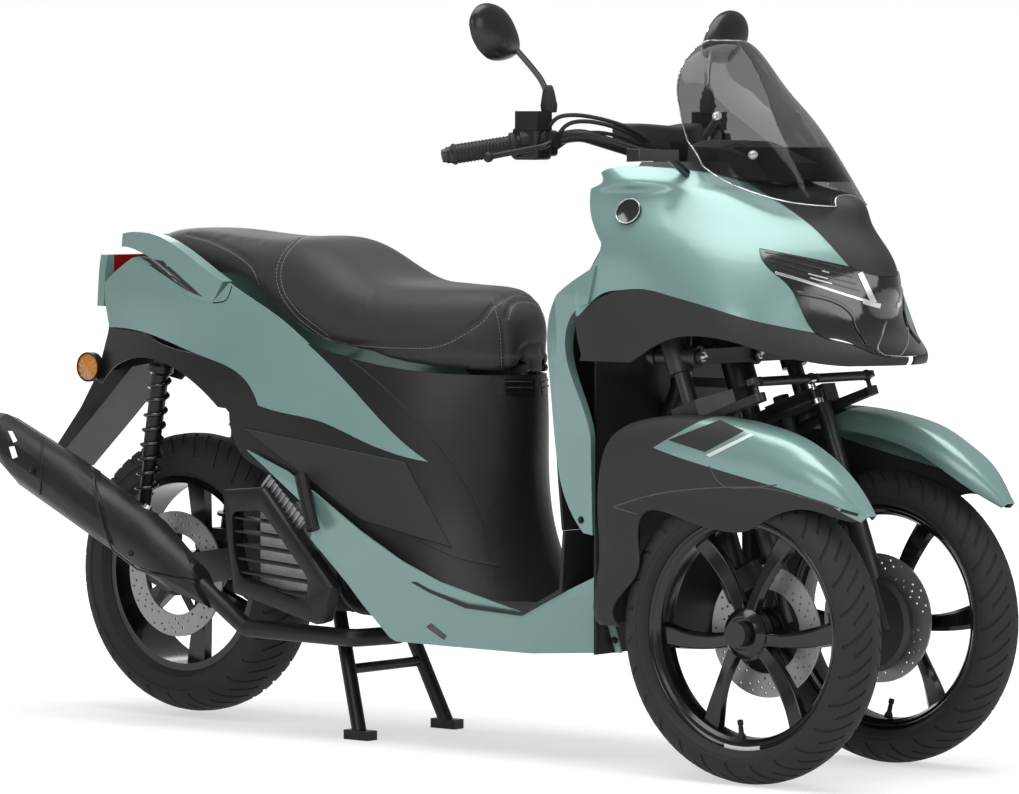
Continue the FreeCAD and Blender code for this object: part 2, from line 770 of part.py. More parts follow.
def frame():
    pieces = []
    hinge_x = float(size("seat_hinge_x"))
    hinge_z = float(size("seat_hinge_height"))
    radius = float(size("head_tube_radius"))
    low = kingpin_at(float(size("head_tube_low")))
    high = kingpin_at(float(size("head_tube_high")))
    pieces.append(rod(low, high, radius))
    pieces += pivot_pins(0, radius)
    # gussets above and below the links reach back to the backbone
    spine_x = 448
    pieces.append(block(Vector(spine_x - 6, -12, 822), Vector(high.x + 14, 12, 842)))
    pieces.append(block(Vector(spine_x - 6, -12, 641), Vector(low.x - 8, 12, 656)))
    spine = [Vector(spine_x, 0, 844), Vector(spine_x, 0, 636), Vector(404, 0, 540), Vector(400, 0, 462)]
    pieces.append(bent_tube(spine, 18, 60))
    pieces.append(block(Vector(384, -88, 448), Vector(415, 88, 482)))
    for side in (-1, 1):
        front_y = side * 72
        side_y = side * 116
        main = [
            Vector(398, front_y, 470), Vector(378, front_y, 228), Vector(120, side_y, 226), Vector(-190, side_y, 236),
            Vector(-296, side_y, 430), Vector(-560, side * 100, 640), Vector(-790, side * 68, 750),
        ]
        pieces.append(bent_tube(main, 14, 50))
        # seat rail from the middle of the frame round the storage tub to the floor
        rail = [
            Vector(-262, side_y, 372), Vector(-190, side_y, 560), Vector(-50, side_y, 608), Vector(20, side * 82, 608),
            Vector(70, side * 58, 420), Vector(118, side * 58, 230),
        ]
        pieces.append(bent_tube(rail, 11, 36))
        pieces.append(rod(Vector(-640, side * 92, 690), Vector(-640, side * 134, 690), 8))
        pieces.append(block(Vector(-654, side * 84, 672), Vector(-626, side * 104, 704)))
        for x, z in ((-700, 706), (-470, 648), (-100, 606)):
            pieces.append(stay(x, z, side))
        pieces.append(block(Vector(34, side * 22, 596), Vector(hinge_x - 14, side * 28, 620)))
        pieces.append(block(Vector(hinge_x - 32, side * 22, 600), Vector(hinge_x - 14, side * 28, hinge_z + 7)))
        pieces.append(block(Vector(hinge_x - 32, side * 22, hinge_z - 7), Vector(hinge_x, side * 28, hinge_z + 7)))
        pieces.append(rod(Vector(hinge_x, side * 22, hinge_z), Vector(hinge_x, side * 28, hinge_z), 7))
    pieces.append(rod(Vector(30, -74, 606), Vector(30, 74, 606), 9))
    pieces.append(rod(Vector(hinge_x, -28, hinge_z), Vector(hinge_x, 28, hinge_z), float(size("seat_pin_radius"))))
    pieces.append(rod(Vector(-790, -68, 750), Vector(-790, 68, 750), 12))
    pieces.append(rod(Vector(-190, -116, 236), Vector(-190, 116, 236), 12))
    pieces.append(rod(Vector(120, -116, 226), Vector(120, 116, 226), 12))
    # lugs that the centre stand turns in
    stand_pivot = Vector(size("stand_pivot_x"), 0, size("stand_pivot_height"))
    for side in (-1, 1):
        lug = side_slab([(-282, 224), (-236, 224), (-176, 226), (-176, 246), (-236, 262), (-282, 262)], side * 104, side * 116)
        hole = rod(stand_pivot + Vector(0, side * 90, 0), stand_pivot + Vector(0, side * 130, 0),
                   float(size("stand_pivot_radius") + clearance))
        pieces.append(lug.cut(hole))
    whole = fused(pieces)
    over = kingpin_up * 5
    return whole.cut(rod(low - over, high + over, float(size("stem_radius") + clearance)))



# Engine block with the transmission case and the right arm, which carry the rear axle between them.
frame_shape = frame()
feature("frame", frame_shape)
rear_axle = Vector(rear_axle_x, 0, rear_axle_z)
engine_parts = [block(Vector(-336, -94, 268), Vector(-50, 92, 432))]
case_outline = [(-300, 300), (-300, 396), (-420, 392), (-640, 336), (-716, 338), (-730, 300), (-722, 226), (-600, 214), (-420, 262)]
engine_parts.append(side_slab(case_outline, 84, 104))
engine_parts.append(side_slab([(x * 0.98 - 10, z) for x, z in case_outline[2:]], 104, 150))
arm_outline = [(-320, 300), (-320, 352), (-640, 300), (-690, 338), (-716, 338), (-716, 300), (-690, 250), (-650, 236)]
engine_parts.append(side_slab(arm_outline, -104, -84))
engine_parts.append(rod(rear_axle + Vector(0, -112, 0), rear_axle + Vector(0, 92, 0), float(size("rear_axle_radius"))))
for side in (-1, 1):
    foot = Vector(-702, side * 90, 322)
    engine_parts.append(rod(foot, foot + Vector(0, side * 42, 0), 8))
engine_parts.append(block(Vector(-212, -40, 236), Vector(-168, 40, 270)))
engine_shape = fused(engine_parts).cut(frame_shape)
feature("engine", engine_shape)


shocks = []
for side in (-1, 1):
    foot = Vector(-702, side * 118, 322)
    head = Vector(-640, side * 118, 690)
    line = (head - foot).normalize()
    eye_half = Vector(0, 11, 0)
    unit = fused([
        rod(foot, head, 8),
        rod(foot + line * 46, head - line * 74, 22),
        rod(foot - eye_half, foot + eye_half, 15),
        rod(head - eye_half, head + eye_half, 15),
    ])
    shocks.append(unit)
shock_pair = Part.makeCompound([unit.cut(frame_shape).cut(engine_shape) for unit in shocks])
feature("rear_shocks", shock_pair)

muffler_sections = []
for x, z, half_z, half_y in ((-470, 262, 40, 26), (-560, 312, 68, 44), (-760, 408, 74, 50), (-930, 484, 68, 50), (-976, 506, 50, 40)):
    ring = []
    for step in range(12):
        turn = 2 * math.pi * step / 12
        ring.append(Vector(x - math.sin(turn) * half_z * 0.42, -198 + math.cos(turn) * half_y, z + math.sin(turn) * half_z))
    muffler_sections.append(ring)
muffler_shape = loft(muffler_sections)
feature("muffler", muffler_shape)

pipe = bent_tube([
    Vector(-110, -60, 290), Vector(-110, -60, 186), Vector(-150, -160, 184), Vector(-380, -186, 190), Vector(-480, -196, 262),
], 16, 26)
pipe = pipe.cut(muffler_shape).cut(engine_shape)
feature("exhaust_pipe", pipe)

feature("radiator", block(Vector(-352, -179.7, 262), Vector(-216, -130.3, 420)))
cover_outline = [(-418, 436), (-320, 445), (-158, 276), (-180, 214), (-200, 208), (-392, 252), (-408, 345)]
feature("radiator_cover", side_slab(cover_outline, -212, -180))

# Tail panels and side covers.
tail_edge = [(-446, 802), (-392, 777), (-308, 737), (-254, 704), (-212, 677), (-123, 608), (-60, 552)]
tail_low_edge = [(6, 500), (-60, 515), (-114, 533), (-204, 564), (-300, 578)]
tail_arch_edge = [(-352, 588), (-380, 627), (-501, 671), (-658, 708)]
tail_runs = [
    tail_edge, tail_low_edge, tail_arch_edge, [(-779, 714)], [(-800, 768)], [(-802, 796)], [(-715, 842), (-640, 838), (-590, 812)],
    [(-549, 777)], [(-482, 764)],
]
tail_side = rear_skin.common(side_shape(tail_runs, 60, 300))
tail_panels = both(tail_side)
feature("tail_panels", tail_panels)

# dark covers from the seat down to the floor, round the front of the tunnel and under the tail panels
cover_runs = [
    [(-300, 716), (-180, 682), (-41, 658), (62, 651)], [(160, 651)], [(160, 430)], [(300, 252)],
    [(258, 256.3)], [(140, 262.3)], [(60, 284.3)], [(-60, 330.3)], [(-66, 330), (-104, 352), (-201, 408), (-277, 447)],
    [(-372, 486), (-420, 545), (-424, 572)], [(-400, 640)],
]
tail_region = side_shape(tail_runs, -300, 300)
cover = rear_skin.common(side_shape(cover_runs, -300, 300)).cut(tail_region)
trim_runs = [
    tail_arch_edge[::-1][:-1], [(-352, 588)], [(-368, 574)], [(-453, 581), (-565, 643), (-702, 660), (-759, 643)],
    [(-805, 609)], [(-826, 615)], [(-779, 714)],
]
tail_trim = rear_skin.common(side_shape(trim_runs, 60, 300)).cut(tail_region).cut(cover)
feature("side_covers", Part.makeCompound([cover] + both(tail_trim).Solids))

tail_lamp = rear_outer.common(block(Vector(-830, -110, 752), Vector(-802.3, 110, 846)))
feature("tail_lamp", tail_lamp)

rail_plan = [
    (-762, 70), (-762, 104), (-690, 136), (-600, 154), (-520, 163), (-440, 166), (-440, 140), (-600, 127), (-690, 110), (-736, 88), (-744, 70),
]
rail_runs = [
    [(-455, 805)], [(-482, 764)], [(-549, 777), (-590, 812), (-640, 840), (-700, 858)], [(-757, 862)], [(-752, 886), (-700, 890)],
    [(-669, 889), (-610, 879), (-558, 858)],
]
rail_bars = []
for side in (-1, 1):
    plan = Part.makePolygon([Vector(x, side * y, 740) for x, y in rail_plan + rail_plan[:1]])
    bar = Part.Face(plan).extrude(Vector(0, 0, 180))
    rail_bars.append(bar.common(side_shape(rail_runs, -200, 200)))
rail_bars.append(block(Vector(-762, -71, 864), Vector(-744, 71, 884)))
feature("grab_rail", fused(rail_bars).cut(tail_panels))

fender_outline = [
    (-560, 640), (-700, 652), (-774, 640), (-880, 540), (-985, 444), (-997.5, 452), (-905, 560), (-845, 650), (-826, 745),
    (-776, 758), (-700, 735),
]
feature("rear_fender", side_slab(fender_outline, -60, 60).cut(frame_shape))

# Seat and storage tub.
# x, top height, lower edge height and half width
seat_rings = [
    (-700, 886, 852, 66), (-650, 892, 840, 98), (-540, 888, 824, 118), (-430, 880, 806, 130), (-345, 881, 752, 142),
    (-290, 871, 720, 149), (-214, 834, 700, 153), (-121, 804, 684, 150), (-20, 799, 666, 132), (56, 795, 660, 98),
    (98, 780, 660, 70), (124, 748, 668, 44),
]


def seat_ring(x, top, low, half):
    depth = top - low
    right = [(0.2, 0), (0.6, -0.04), (0.88, -0.22), (1, -0.6), (0.95, -1)]
    points = [Vector(x, -half * y, top + depth * z) for y, z in right]
    points += [Vector(x, half * y, top + depth * z) for y, z in right[::-1]]
    arch = points[5:] + points[:5]
    return [arch, [arch[-1], arch[0]]]


seat_body = smooth_loft([seat_ring(*ring) for ring in seat_rings])
hinge = Vector(size("seat_hinge_x"), 0, size("seat_hinge_height"))
pocket = block(Vector(hinge.x - 50, -36, 600), Vector(hinge.x + 60, 36, hinge.z + 16))
lug = fused([
    rod(hinge - Vector(0, 18, 0), hinge + Vector(0, 18, 0), 9),
    block(hinge - Vector(9, 18, 0), hinge + Vector(4, 18, 30)),
])
lug = lug.cut(rod(hinge - Vector(0, 30, 0), hinge + Vector(0, 30, 0), float(size("seat_pin_radius") + clearance)))
feature("seat", fused([seat_body.cut(pocket), lug]))

tub_low = Vector(-330, -100, 452)
tub_high = Vector(-70, 100, 640)
tub_wall = Vector(4, 4, 4)
tub_space = block(tub_low + tub_wall, tub_high + Vector(-4, -4, 4))
flange = block(Vector(tub_low.x, -130, 619.3), Vector(tub_high.x, 130, 623))
tub = fused([block(tub_low, tub_high), flange]).cut(tub_space)
feature("storage_tub", tub.cut(tail_panels))

# Lower body and floor.
lower_outline = [
    (-368, 508), (-273, 475), (-198, 436), (-101, 379), (-5, 330), (80, 298), (258, 256), (345, 294), (424, 330),
    (424, 192), (258, 183), (80, 185), (-33, 187), (-46, 193), (-134, 285), (-215, 359), (-201, 399), (-320, 478),
]
lower_sections = [
    (-400, [(192, 560), (200, 500), (198, 440), (186, 380)]),
    (-100, [(196, 560), (206, 400), (204, 300), (186, 183)]),
    (250, [(200, 560), (210, 400), (200, 260), (170, 180)]),
    (430, [(200, 560), (206, 400), (180, 300), (128, 180)]),
]
lower_outer = loft([across(x, half) for x, half in lower_sections])
lower_inner = loft([across(x, [(y - wall, z) for y, z in half]) for x, half in lower_sections])
lower_cut = side_slab(lower_outline, 60, 300)
lower_side = lower_outer.cut(lower_inner).common(lower_cut)
feature("lower_body", both(lower_side))

shield_face = [(425, 960), (436, 880), (400, 826), (334, 762), (328, 714), (334, 600), (344, 480), (352, 400)]
floor_face = [(352, 399.7), (345, 300), (258, 256), (140, 262), (60, 284), (-30, 318.5)]


def strip(face, depth, low, high):
    # A sheet that follows a side-view line drawn from the top down, with its depth on the front and lower side.
    normals = []
    for (x, z), (next_x, next_z) in zip(face, face[1:]):
        length = math.hypot(next_x - x, next_z - z)
        normals.append(Vector((z - next_z) / length, 0, (next_x - x) / length))
    back = []
    for index, (x, z) in enumerate(face):
        before = normals[max(index - 1, 0)]
        after = normals[min(index, len(normals) - 1)]
        shift = (before + after) * (depth / (1 + before.dot(after)))
        back.append((x + shift.x, z + shift.z))
    return side_slab(face + back[::-1], low, high)


lower_pair = both(lower_side)
floor = strip(floor_face, 6, -203, 203)
feature("floor", floor.cut(lower_pair).cut(frame_shape))
under = block(Vector(-20, -120, 192), Vector(400, 120, 198))
liner = side_slab([(409, 192), (414, 192), (414, 700), (409, 700)], -190, 190)
joint = block(Vector(395, -120, 192), Vector(412, 120, 198))
feature("underbody", fused([under, liner, joint]).cut(lower_pair).cut(frame_shape))

# Front body.
front_levels = [
    (690, [(400, 230), (600, 234), (762, 214), (846, 150), (902, 74), (920, 24)]),
    (716, [(400, 234), (600, 237), (768, 222), (844, 150), (898, 74), (914, 24)]),
    (745, [(400, 236), (600, 238), (770, 222), (826, 150), (870, 74), (882, 24)]),
    (797, [(400, 236), (600, 236), (754, 214), (806, 146), (856, 70), (880, 22)]),
    (865, [(410, 233), (600, 228), (716, 196), (778, 140), (836, 68), (868, 22)]),
    (922, [(410, 225), (560, 212), (662, 178), (732, 128), (794, 62), (828, 20)]),
    (974, [(410, 213), (520, 198), (604, 164), (668, 118), (734, 58), (770, 18)]),
    (1024, [(410, 202), (492, 182), (556, 150), (604, 106), (650, 52), (676, 16)]),
]
front_outer = smooth_loft([level_runs(z, half) for z, half in front_levels])
front_inner_levels = []
for z, half in front_levels:
    front_inner_levels.append(level_runs(z, [(x - wall, y - wall) for x, y in half]))
front_inner = smooth_loft(front_inner_levels)
front_skin = front_outer.cut(front_inner)

# lines of the front body in side view
bonnet_line = [(500, 1016), (560, 1012), (605, 1004), (663, 986), (709, 964), (754, 937), (799, 901), (844, 853)]
lamp_top_line = [(844, 853), (787, 870), (735, 883)]
cheek_line = [(735, 883), (765, 844), (784, 826), (808, 782), (830, 745)]
cowl_low_line = [(830, 745), (762, 766), (670, 790), (604, 803), (535, 813), (489, 810), (426, 784), (381, 753)]
cowl_rear_line = [(404, 772), (416, 826), (448, 866), (455, 888)]
arch_line = [(905, 690), (840, 696), (785, 713), (742, 728), (672, 738), (599, 730), (522, 694), (462, 650), (436, 610)]
cowl_runs = [
    bonnet_line[:-1], lamp_top_line[:-1], cheek_line[:-1], cowl_low_line[:-1] + [(404, 766)], cowl_rear_line[:-1],
    [(455, 888), (428, 930), (418, 968), (424, 996), (450, 1012)],
]
front_cowl = both(front_skin.common(side_shape(cowl_runs, 10, 300)))
feature("front_cowl", front_cowl)

# charcoal panel between the cowl and the wheel arches, with the chin under the nose
trim_runs = [
    [(x, z - gap) for x, z in reversed(cowl_low_line[1:])],
    [(830, 745 - gap), (845, 735), (880, 722), (905, 708)],
    [(926, 704)], [(950, 704)], [(950, 690)],
    arch_line[:-1] + [(440, 620)],
    [(434, 604), (412, 604)],
    [(412, 700), (404, 762)],
]
trim_runs[0][0] = (404, 765.4)
arch_trim = front_skin.common(side_shape(trim_runs, 10, 300))
feature("arch_trim", both(arch_trim).cut(front_cowl))

bonnet_runs = [
    [(x + gap, z + gap) for x, z in bonnet_line[:-1]], [(844 + gap, 853 + gap), (872, 839), (884, 835)], [(940, 834), (940, 1030)],
    [(640, 1030), (500, 1030)],
]
feature("nose", front_skin.common(side_shape(bonnet_runs, -300, 300)))

lamp_runs = [[(735.6, 881.6), (787, 869.4)], [(844, 852.4), (856, 843)], [(878, 785), (856, 797), (832, 809)], [(769, 843)]]
lamps = front_skin.common(side_shape(lamp_runs, 10, 300))
feature("headlamps", both(lamps))

# gloss black face between the lamps and the chin
face_region = side_shape([
    [(736, 882), (767, 844), (786, 826), (810, 782), (831, 746)], [(846, 736), (881, 723), (906, 709)],
    [(927, 705), (950, 705)], [(950, 833.4), (884, 834.4), (872, 838.4)], [(845, 852.4)],
], -300, 300)
face = front_skin.common(face_region).cut(both(lamps)).cut(Part.makeCompound([front_cowl]))
feature("lamp_face", face)

# Leg shield: side bands and the panel between them.
band_outline = [
    (446, 850), (400, 826), (362, 801), (327, 765), (321, 714), (327, 671), (338, 580), (362, 463), (404, 399), (424, 396),
    (424, 560), (396, 642), (376, 720), (386, 756), (430, 786),
]
band_runs = [
    [(446, 850), (400, 826), (362, 801)], [(330, 765), (321, 714), (327, 671), (338, 580), (362, 463)], [(404, 399)], [(424, 396)],
    [(424, 560), (396, 642), (376, 720), (386, 756)], [(430, 786)],
]
band_forms = [
    (380, (206, 214)), (560, (206, 220)), (690, (206, 230)), (800, (206, 236)), (900, (206, 234)),
]
band_body = loft([
    [Vector(318, low, z), Vector(360, high - 4, z), Vector(450, high, z), Vector(450, low, z)] for z, (low, high) in band_forms
])
band = band_body.common(side_shape(band_runs, 180, 260)).cut(front_cowl).cut(arch_trim)
feature("leg_shield", both(band))
feature("inner_shield", strip(shield_face, 5, -205.7, 205.7).cut(frame_shape))

deck = front_inner.common(block(Vector(504, -240, 990), Vector(800, 240, 994)))
hood = loft([
    across(532, [(100, 994), (92, 1050), (50, 1060)]),
    across(600, [(110, 994), (98, 1046), (50, 1058)]),
    across(700, [(70, 994), (60, 1018), (40, 1022)]),
])


def screen_curve(edge_x, half, bow, height, depth):
    # A bowed line across the screen at one height, from its right edge to its left.
    points = []
    for step in range(-4, 5):
        turn = math.radians(22.5 * step)
        points.append(Vector(edge_x + (bow - depth) * math.cos(turn), (half - depth * 0.6) * math.sin(turn), height))
    return points


def screen_runs(height, edge_x, half, bow):
    front = screen_curve(edge_x, half, bow, height, 0)
    rear = screen_curve(edge_x, half, bow, height, 4.5)[::-1]
    return [front, [front[-1], rear[0]], rear, [rear[-1], front[0]]]


def behind_runs(height, edge_x, half, bow, depth):
    rear = screen_curve(edge_x, half, bow, height, depth)
    return [rear, [rear[-1], rear[0]]]


# height, edge, half width and bow of the screen
screen_forms = [
    (940, 650, 146, 162), (1000, 604, 142, 168), (1046, 572, 140, 166), (1110, 544, 132, 134), (1165, 530, 118, 88),
    (1204, 528, 84, 66), (1228, 534, 40, 36),
]
screen_low_line = [(830, 948), (796, 951), (750, 958), (700, 972), (640, 994)]
screen_region = side_shape([screen_low_line, [(598, 1018), (572, 1052)], [(500, 1090)], [(500, 1240)], [(830, 1240)]], -300, 300)
screen_shape = smooth_loft([screen_runs(*form) for form in screen_forms]).common(screen_region).cut(front_outer)
screen_shape = max(screen_shape.Solids, key=lambda piece: piece.Volume)
feature("windscreen", screen_shape)
behind_screen = smooth_loft([behind_runs(*form, 8) for form in screen_forms])
further_behind = smooth_loft([behind_runs(*form, 11) for form in screen_forms])
visor_region = side_shape([[(800, 958)], [(700, 984), (640, 1002)], [(610, 1020), (590, 1052), (600, 1084)], [(640, 1070), (700, 1034)]], -300, 300)
visor = behind_screen.cut(further_behind).common(visor_region)
brackets = [visor]
for side in (-1, 1):
    bracket = block(Vector(590, side * 66, 990), Vector(760, side * 74, 1048))
    brackets.append(bracket.common(smooth_loft([screen_behind for screen_behind in [behind_runs(*form, 4.5) for form in screen_forms]])).cut(screen_shape))
dash = fused([deck, hood] + brackets).cut(screen_shape).cut(front_skin)
feature("dashboard", dash)

signals = []
for side in (-1, 1):
    stalk = rod(Vector(574, side * 152, 1004), Vector(574, side * 206, 1035), 7).cut(front_outer)
    lens = (loft([
        [Vector(x, side * y, z) for x, y, z in ((560, 200, 1026), (590, 194, 1026), (590, 194, 1044), (560, 200, 1044))],
        [Vector(x, side * y, z) for x, y, z in ((532, 262, 1024), (556, 258, 1025), (556, 258, 1045), (532, 262, 1046))],
    ]))
    signals.append(fused([stalk, lens]))
    rear_end = Vector(-827, side * 114, 640)
    rear_stalk = rod(Vector(-812, side * 60, 640), rear_end, 7)
    rear_lens = rod(rear_end - Vector(0, side * 6, 0), rear_end + Vector(0, side * 8, 0), 27)
    signals.append(fused([rear_stalk, rear_lens]))
feature("turn_signals", Part.makeCompound(signals).cut(front_outer).cut(nodes_by_label("rear_fender")).cut(both(tail_trim)))


# stations along the fender from the flap to the tip: top x and z, outer and inner half width, outer and inner depth
fender_stations = [
    (452, 250, 48, 44, 56, 30), (450, 340, 50, 45, 80, 34), (450, 440, 52, 46, 122, 38), (457, 520, 54, 46, 134, 40),
    (482, 570, 54, 46, 158, 40), (545, 597, 54, 46, 184, 40), (640, 606, 54, 46, 190, 40), (740, 599, 54, 46, 180, 40),
    (835, 577, 54, 45, 150, 42), (905, 539, 51, 42, 90, 40), (960, 492, 37, 30, 50, 30), (991, 455, 17, 14, 16, 14),
]


def fender_runs(x, z, outer, inner, outer_depth, inner_depth):
    # A cross-section of the fender, in the plane that holds the wheel axis. Depth is measured towards the axis.
    top = Vector(x, 0, z)
    inward = (Vector(front_axle_x, 0, front_radius) - top).normalize()

    def at(y, depth):
        return top + Vector(0, y, 0) + inward * depth

    shoulder = min(30, outer_depth * 0.5, inner_depth * 0.7)
    outside = [at(outer, outer_depth), at(outer, (outer_depth + shoulder) / 2), at(outer * 0.98, shoulder), at(outer * 0.74, shoulder * 0.22), at(0, 0),
               at(-inner * 0.74, shoulder * 0.22), at(-inner, shoulder), at(-inner, inner_depth)]
    rim_edge = 3.2
    inside = [at(-inner + rim_edge, inner_depth), at(-inner + rim_edge, shoulder + 2), at(-inner * 0.7, shoulder * 0.3 + rim_edge), at(0, rim_edge),
              at(outer * 0.7, shoulder * 0.3 + rim_edge), at(outer * 0.98 - rim_edge, shoulder + 2),
              at(outer - rim_edge, (outer_depth + shoulder) / 2), at(outer - rim_edge, outer_depth)]
    return [outside, [outside[-1], inside[0]], inside, [inside[-1], outside[0]]]


fender_shell = smooth_loft([fender_runs(*station) for station in fender_stations])
painted_region = side_shape([
    [(586, 552), (694, 526), (841, 496)], [(930, 474), (1010, 436)], [(1010, 640)], [(700, 640)], [(690, 608)],
], -80, 80)
for name, side in SIDES.items():
    for label, piece in (("fender_", fender_shell.common(painted_region)), ("fender_skirt_", fender_shell.cut(painted_region))):
        placed = piece.copy() if side > 0 else mirrored(piece)
        placed.translate(Vector(0, side * float(half_track), 0))
        feature(label + name, placed.cut(forks[side]))

# Centre stand.


def centre_stand():
    pivot = Vector(size("stand_pivot_x"), 0, size("stand_pivot_height"))
    foot = pivot + Vector(float(size("stand_foot_lead")), 0, -float(size("stand_pivot_height")))
    radius = float(size("stand_leg_radius"))
    half = float(size("stand_half_width"))
    pieces = [
        rod(pivot - Vector(0, 98, 0), pivot + Vector(0, 98, 0), radius),
        rod(pivot - Vector(0, 120, 0), pivot + Vector(0, 120, 0), float(size("stand_pivot_radius"))),
    ]
    for side in (-1, 1):
        top = pivot + Vector(0, side * 80, 0)
        toe = foot + Vector(0, side * half, radius)
        pieces.append(rod(top, toe, radius))
        pieces.append(block(toe - Vector(26, 13, radius), toe + Vector(30, 13, 4)))
    middle = (pivot + foot) / 2
    pieces.append(rod(middle - Vector(0, 98, 0), middle + Vector(0, 98, 0), 9))
    return fused(pieces)


feature("centre_stand", centre_stand())

pegs = []
for side in (-1, 1):
    pegs.append(rod(Vector(-230, side * 210, 470), Vector(-187, side * 226, 377), 12).cut(lower_outer))
feature("passenger_pegs", Part.makeCompound(pegs))

doc.recompute()
bad = [item.Label for item in doc.Objects if "Invalid" in item.State or "Error" in item.State]
if bad:
    raise RuntimeError("failed objects: " + ", ".join(bad))
os.makedirs("parts", exist_ok=True)
for node in nodes:
    if node.Shape.isNull() or not node.Shape.isValid() or not node.Shape.Solids:
        raise RuntimeError("bad shape: " + node.Label)
    node.Shape.exportStep(os.path.join("parts", node.Label + ".step"))
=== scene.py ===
import bpy
import bmesh
import json
import math
from mathutils import Matrix, Vector
from mathutils.bvhtree import BVHTree
from mathutils.kdtree import KDTree


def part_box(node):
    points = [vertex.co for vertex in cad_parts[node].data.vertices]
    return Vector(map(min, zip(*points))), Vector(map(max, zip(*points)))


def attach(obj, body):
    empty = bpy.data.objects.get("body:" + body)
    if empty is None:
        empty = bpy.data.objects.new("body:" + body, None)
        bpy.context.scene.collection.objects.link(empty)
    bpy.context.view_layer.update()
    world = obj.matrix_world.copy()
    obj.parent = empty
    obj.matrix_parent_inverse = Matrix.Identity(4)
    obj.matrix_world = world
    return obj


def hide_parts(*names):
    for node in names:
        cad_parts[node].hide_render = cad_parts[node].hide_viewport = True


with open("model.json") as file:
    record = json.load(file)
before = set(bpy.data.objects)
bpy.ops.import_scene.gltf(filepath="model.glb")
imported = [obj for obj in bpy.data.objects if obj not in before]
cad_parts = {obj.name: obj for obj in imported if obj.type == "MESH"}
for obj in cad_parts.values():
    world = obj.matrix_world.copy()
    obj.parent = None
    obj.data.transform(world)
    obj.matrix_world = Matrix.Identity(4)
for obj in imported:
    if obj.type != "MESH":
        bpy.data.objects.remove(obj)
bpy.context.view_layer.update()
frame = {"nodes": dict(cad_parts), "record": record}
nodes = frame["nodes"]
print("frame loaded:", len(nodes), "nodes")

# camera and studio

cameraSettings = {
    "place": (6.00695, -7.32492, 1.07942),
    "target": (0.0535, 0.022, 0.608),
    "rollDegrees": 0.091,
    "lens": 190.46,
    "sensor": 36.0,
}

studioSettings = {
    "floorHalf": 14.0,
    "floorAlbedo": 0.50,
    "floorLift": 0.56,
    "fadeFrom": 1.5,
    "fadeTo": 3.2,
    "worldLight": 0.34,
    "keyPower": 205.0,
    "fillPower": 62.0,
}


def makeCamera(settings):
    data = bpy.data.cameras.new("photoCamera")
    data.lens = settings["lens"]
    data.sensor_width = settings["sensor"]
    data.clip_end = 100
    holder = bpy.data.objects.new("photoCamera", data)
    place = Vector(settings["place"])
    look = Vector(settings["target"]) - place
    turn = look.to_track_quat("-Z", "Y").to_matrix()
    roll = Matrix.Rotation(math.radians(settings["rollDegrees"]), 3, "Z")
    holder.matrix_world = Matrix.Translation(place) @ (turn @ roll).to_4x4()
    bpy.context.scene.collection.objects.link(holder)
    bpy.context.scene.camera = holder


def linkObject(name, mesh):
    made = bpy.data.objects.new(name, mesh)
    bpy.context.scene.collection.objects.link(made)
    return made


def areaLamp(name, place, target, width, height, power):
    data = bpy.data.lights.new(name, "AREA")
    data.shape = "RECTANGLE"
    data.size = width
    data.size_y = height
    data.energy = power
    lamp = bpy.data.objects.new(name, data)
    look = Vector(target) - Vector(place)
    lamp.matrix_world = Matrix.Translation(Vector(place)) @ look.to_track_quat("-Z", "Y").to_matrix().to_4x4()
    bpy.context.scene.collection.objects.link(lamp)


def whiteForCamera(tree, shader, strength):
    # what the camera, gloss and glass see is a plain white of this strength added to the shader
    links = tree.links
    path = tree.nodes.new("ShaderNodeLightPath")
    first = tree.nodes.new("ShaderNodeMath")
    first.operation = "MAXIMUM"
    links.new(path.outputs["Is Camera Ray"], first.inputs[0])
    links.new(path.outputs["Is Glossy Ray"], first.inputs[1])
    seen = tree.nodes.new("ShaderNodeMath")
    seen.operation = "MAXIMUM"
    links.new(first.outputs[0], seen.inputs[0])
    links.new(path.outputs["Is Transmission Ray"], seen.inputs[1])
    level = tree.nodes.new("ShaderNodeMath")
    level.operation = "MULTIPLY"
    level.inputs[1].default_value = strength
    links.new(seen.outputs[0], level.inputs[0])
    glow = tree.nodes.new("ShaderNodeEmission")
    links.new(level.outputs[0], glow.inputs["Strength"])
    both = tree.nodes.new("ShaderNodeAddShader")
    links.new(shader.outputs[0], both.inputs[0])
    links.new(glow.outputs[0], both.inputs[1])
    return both, level


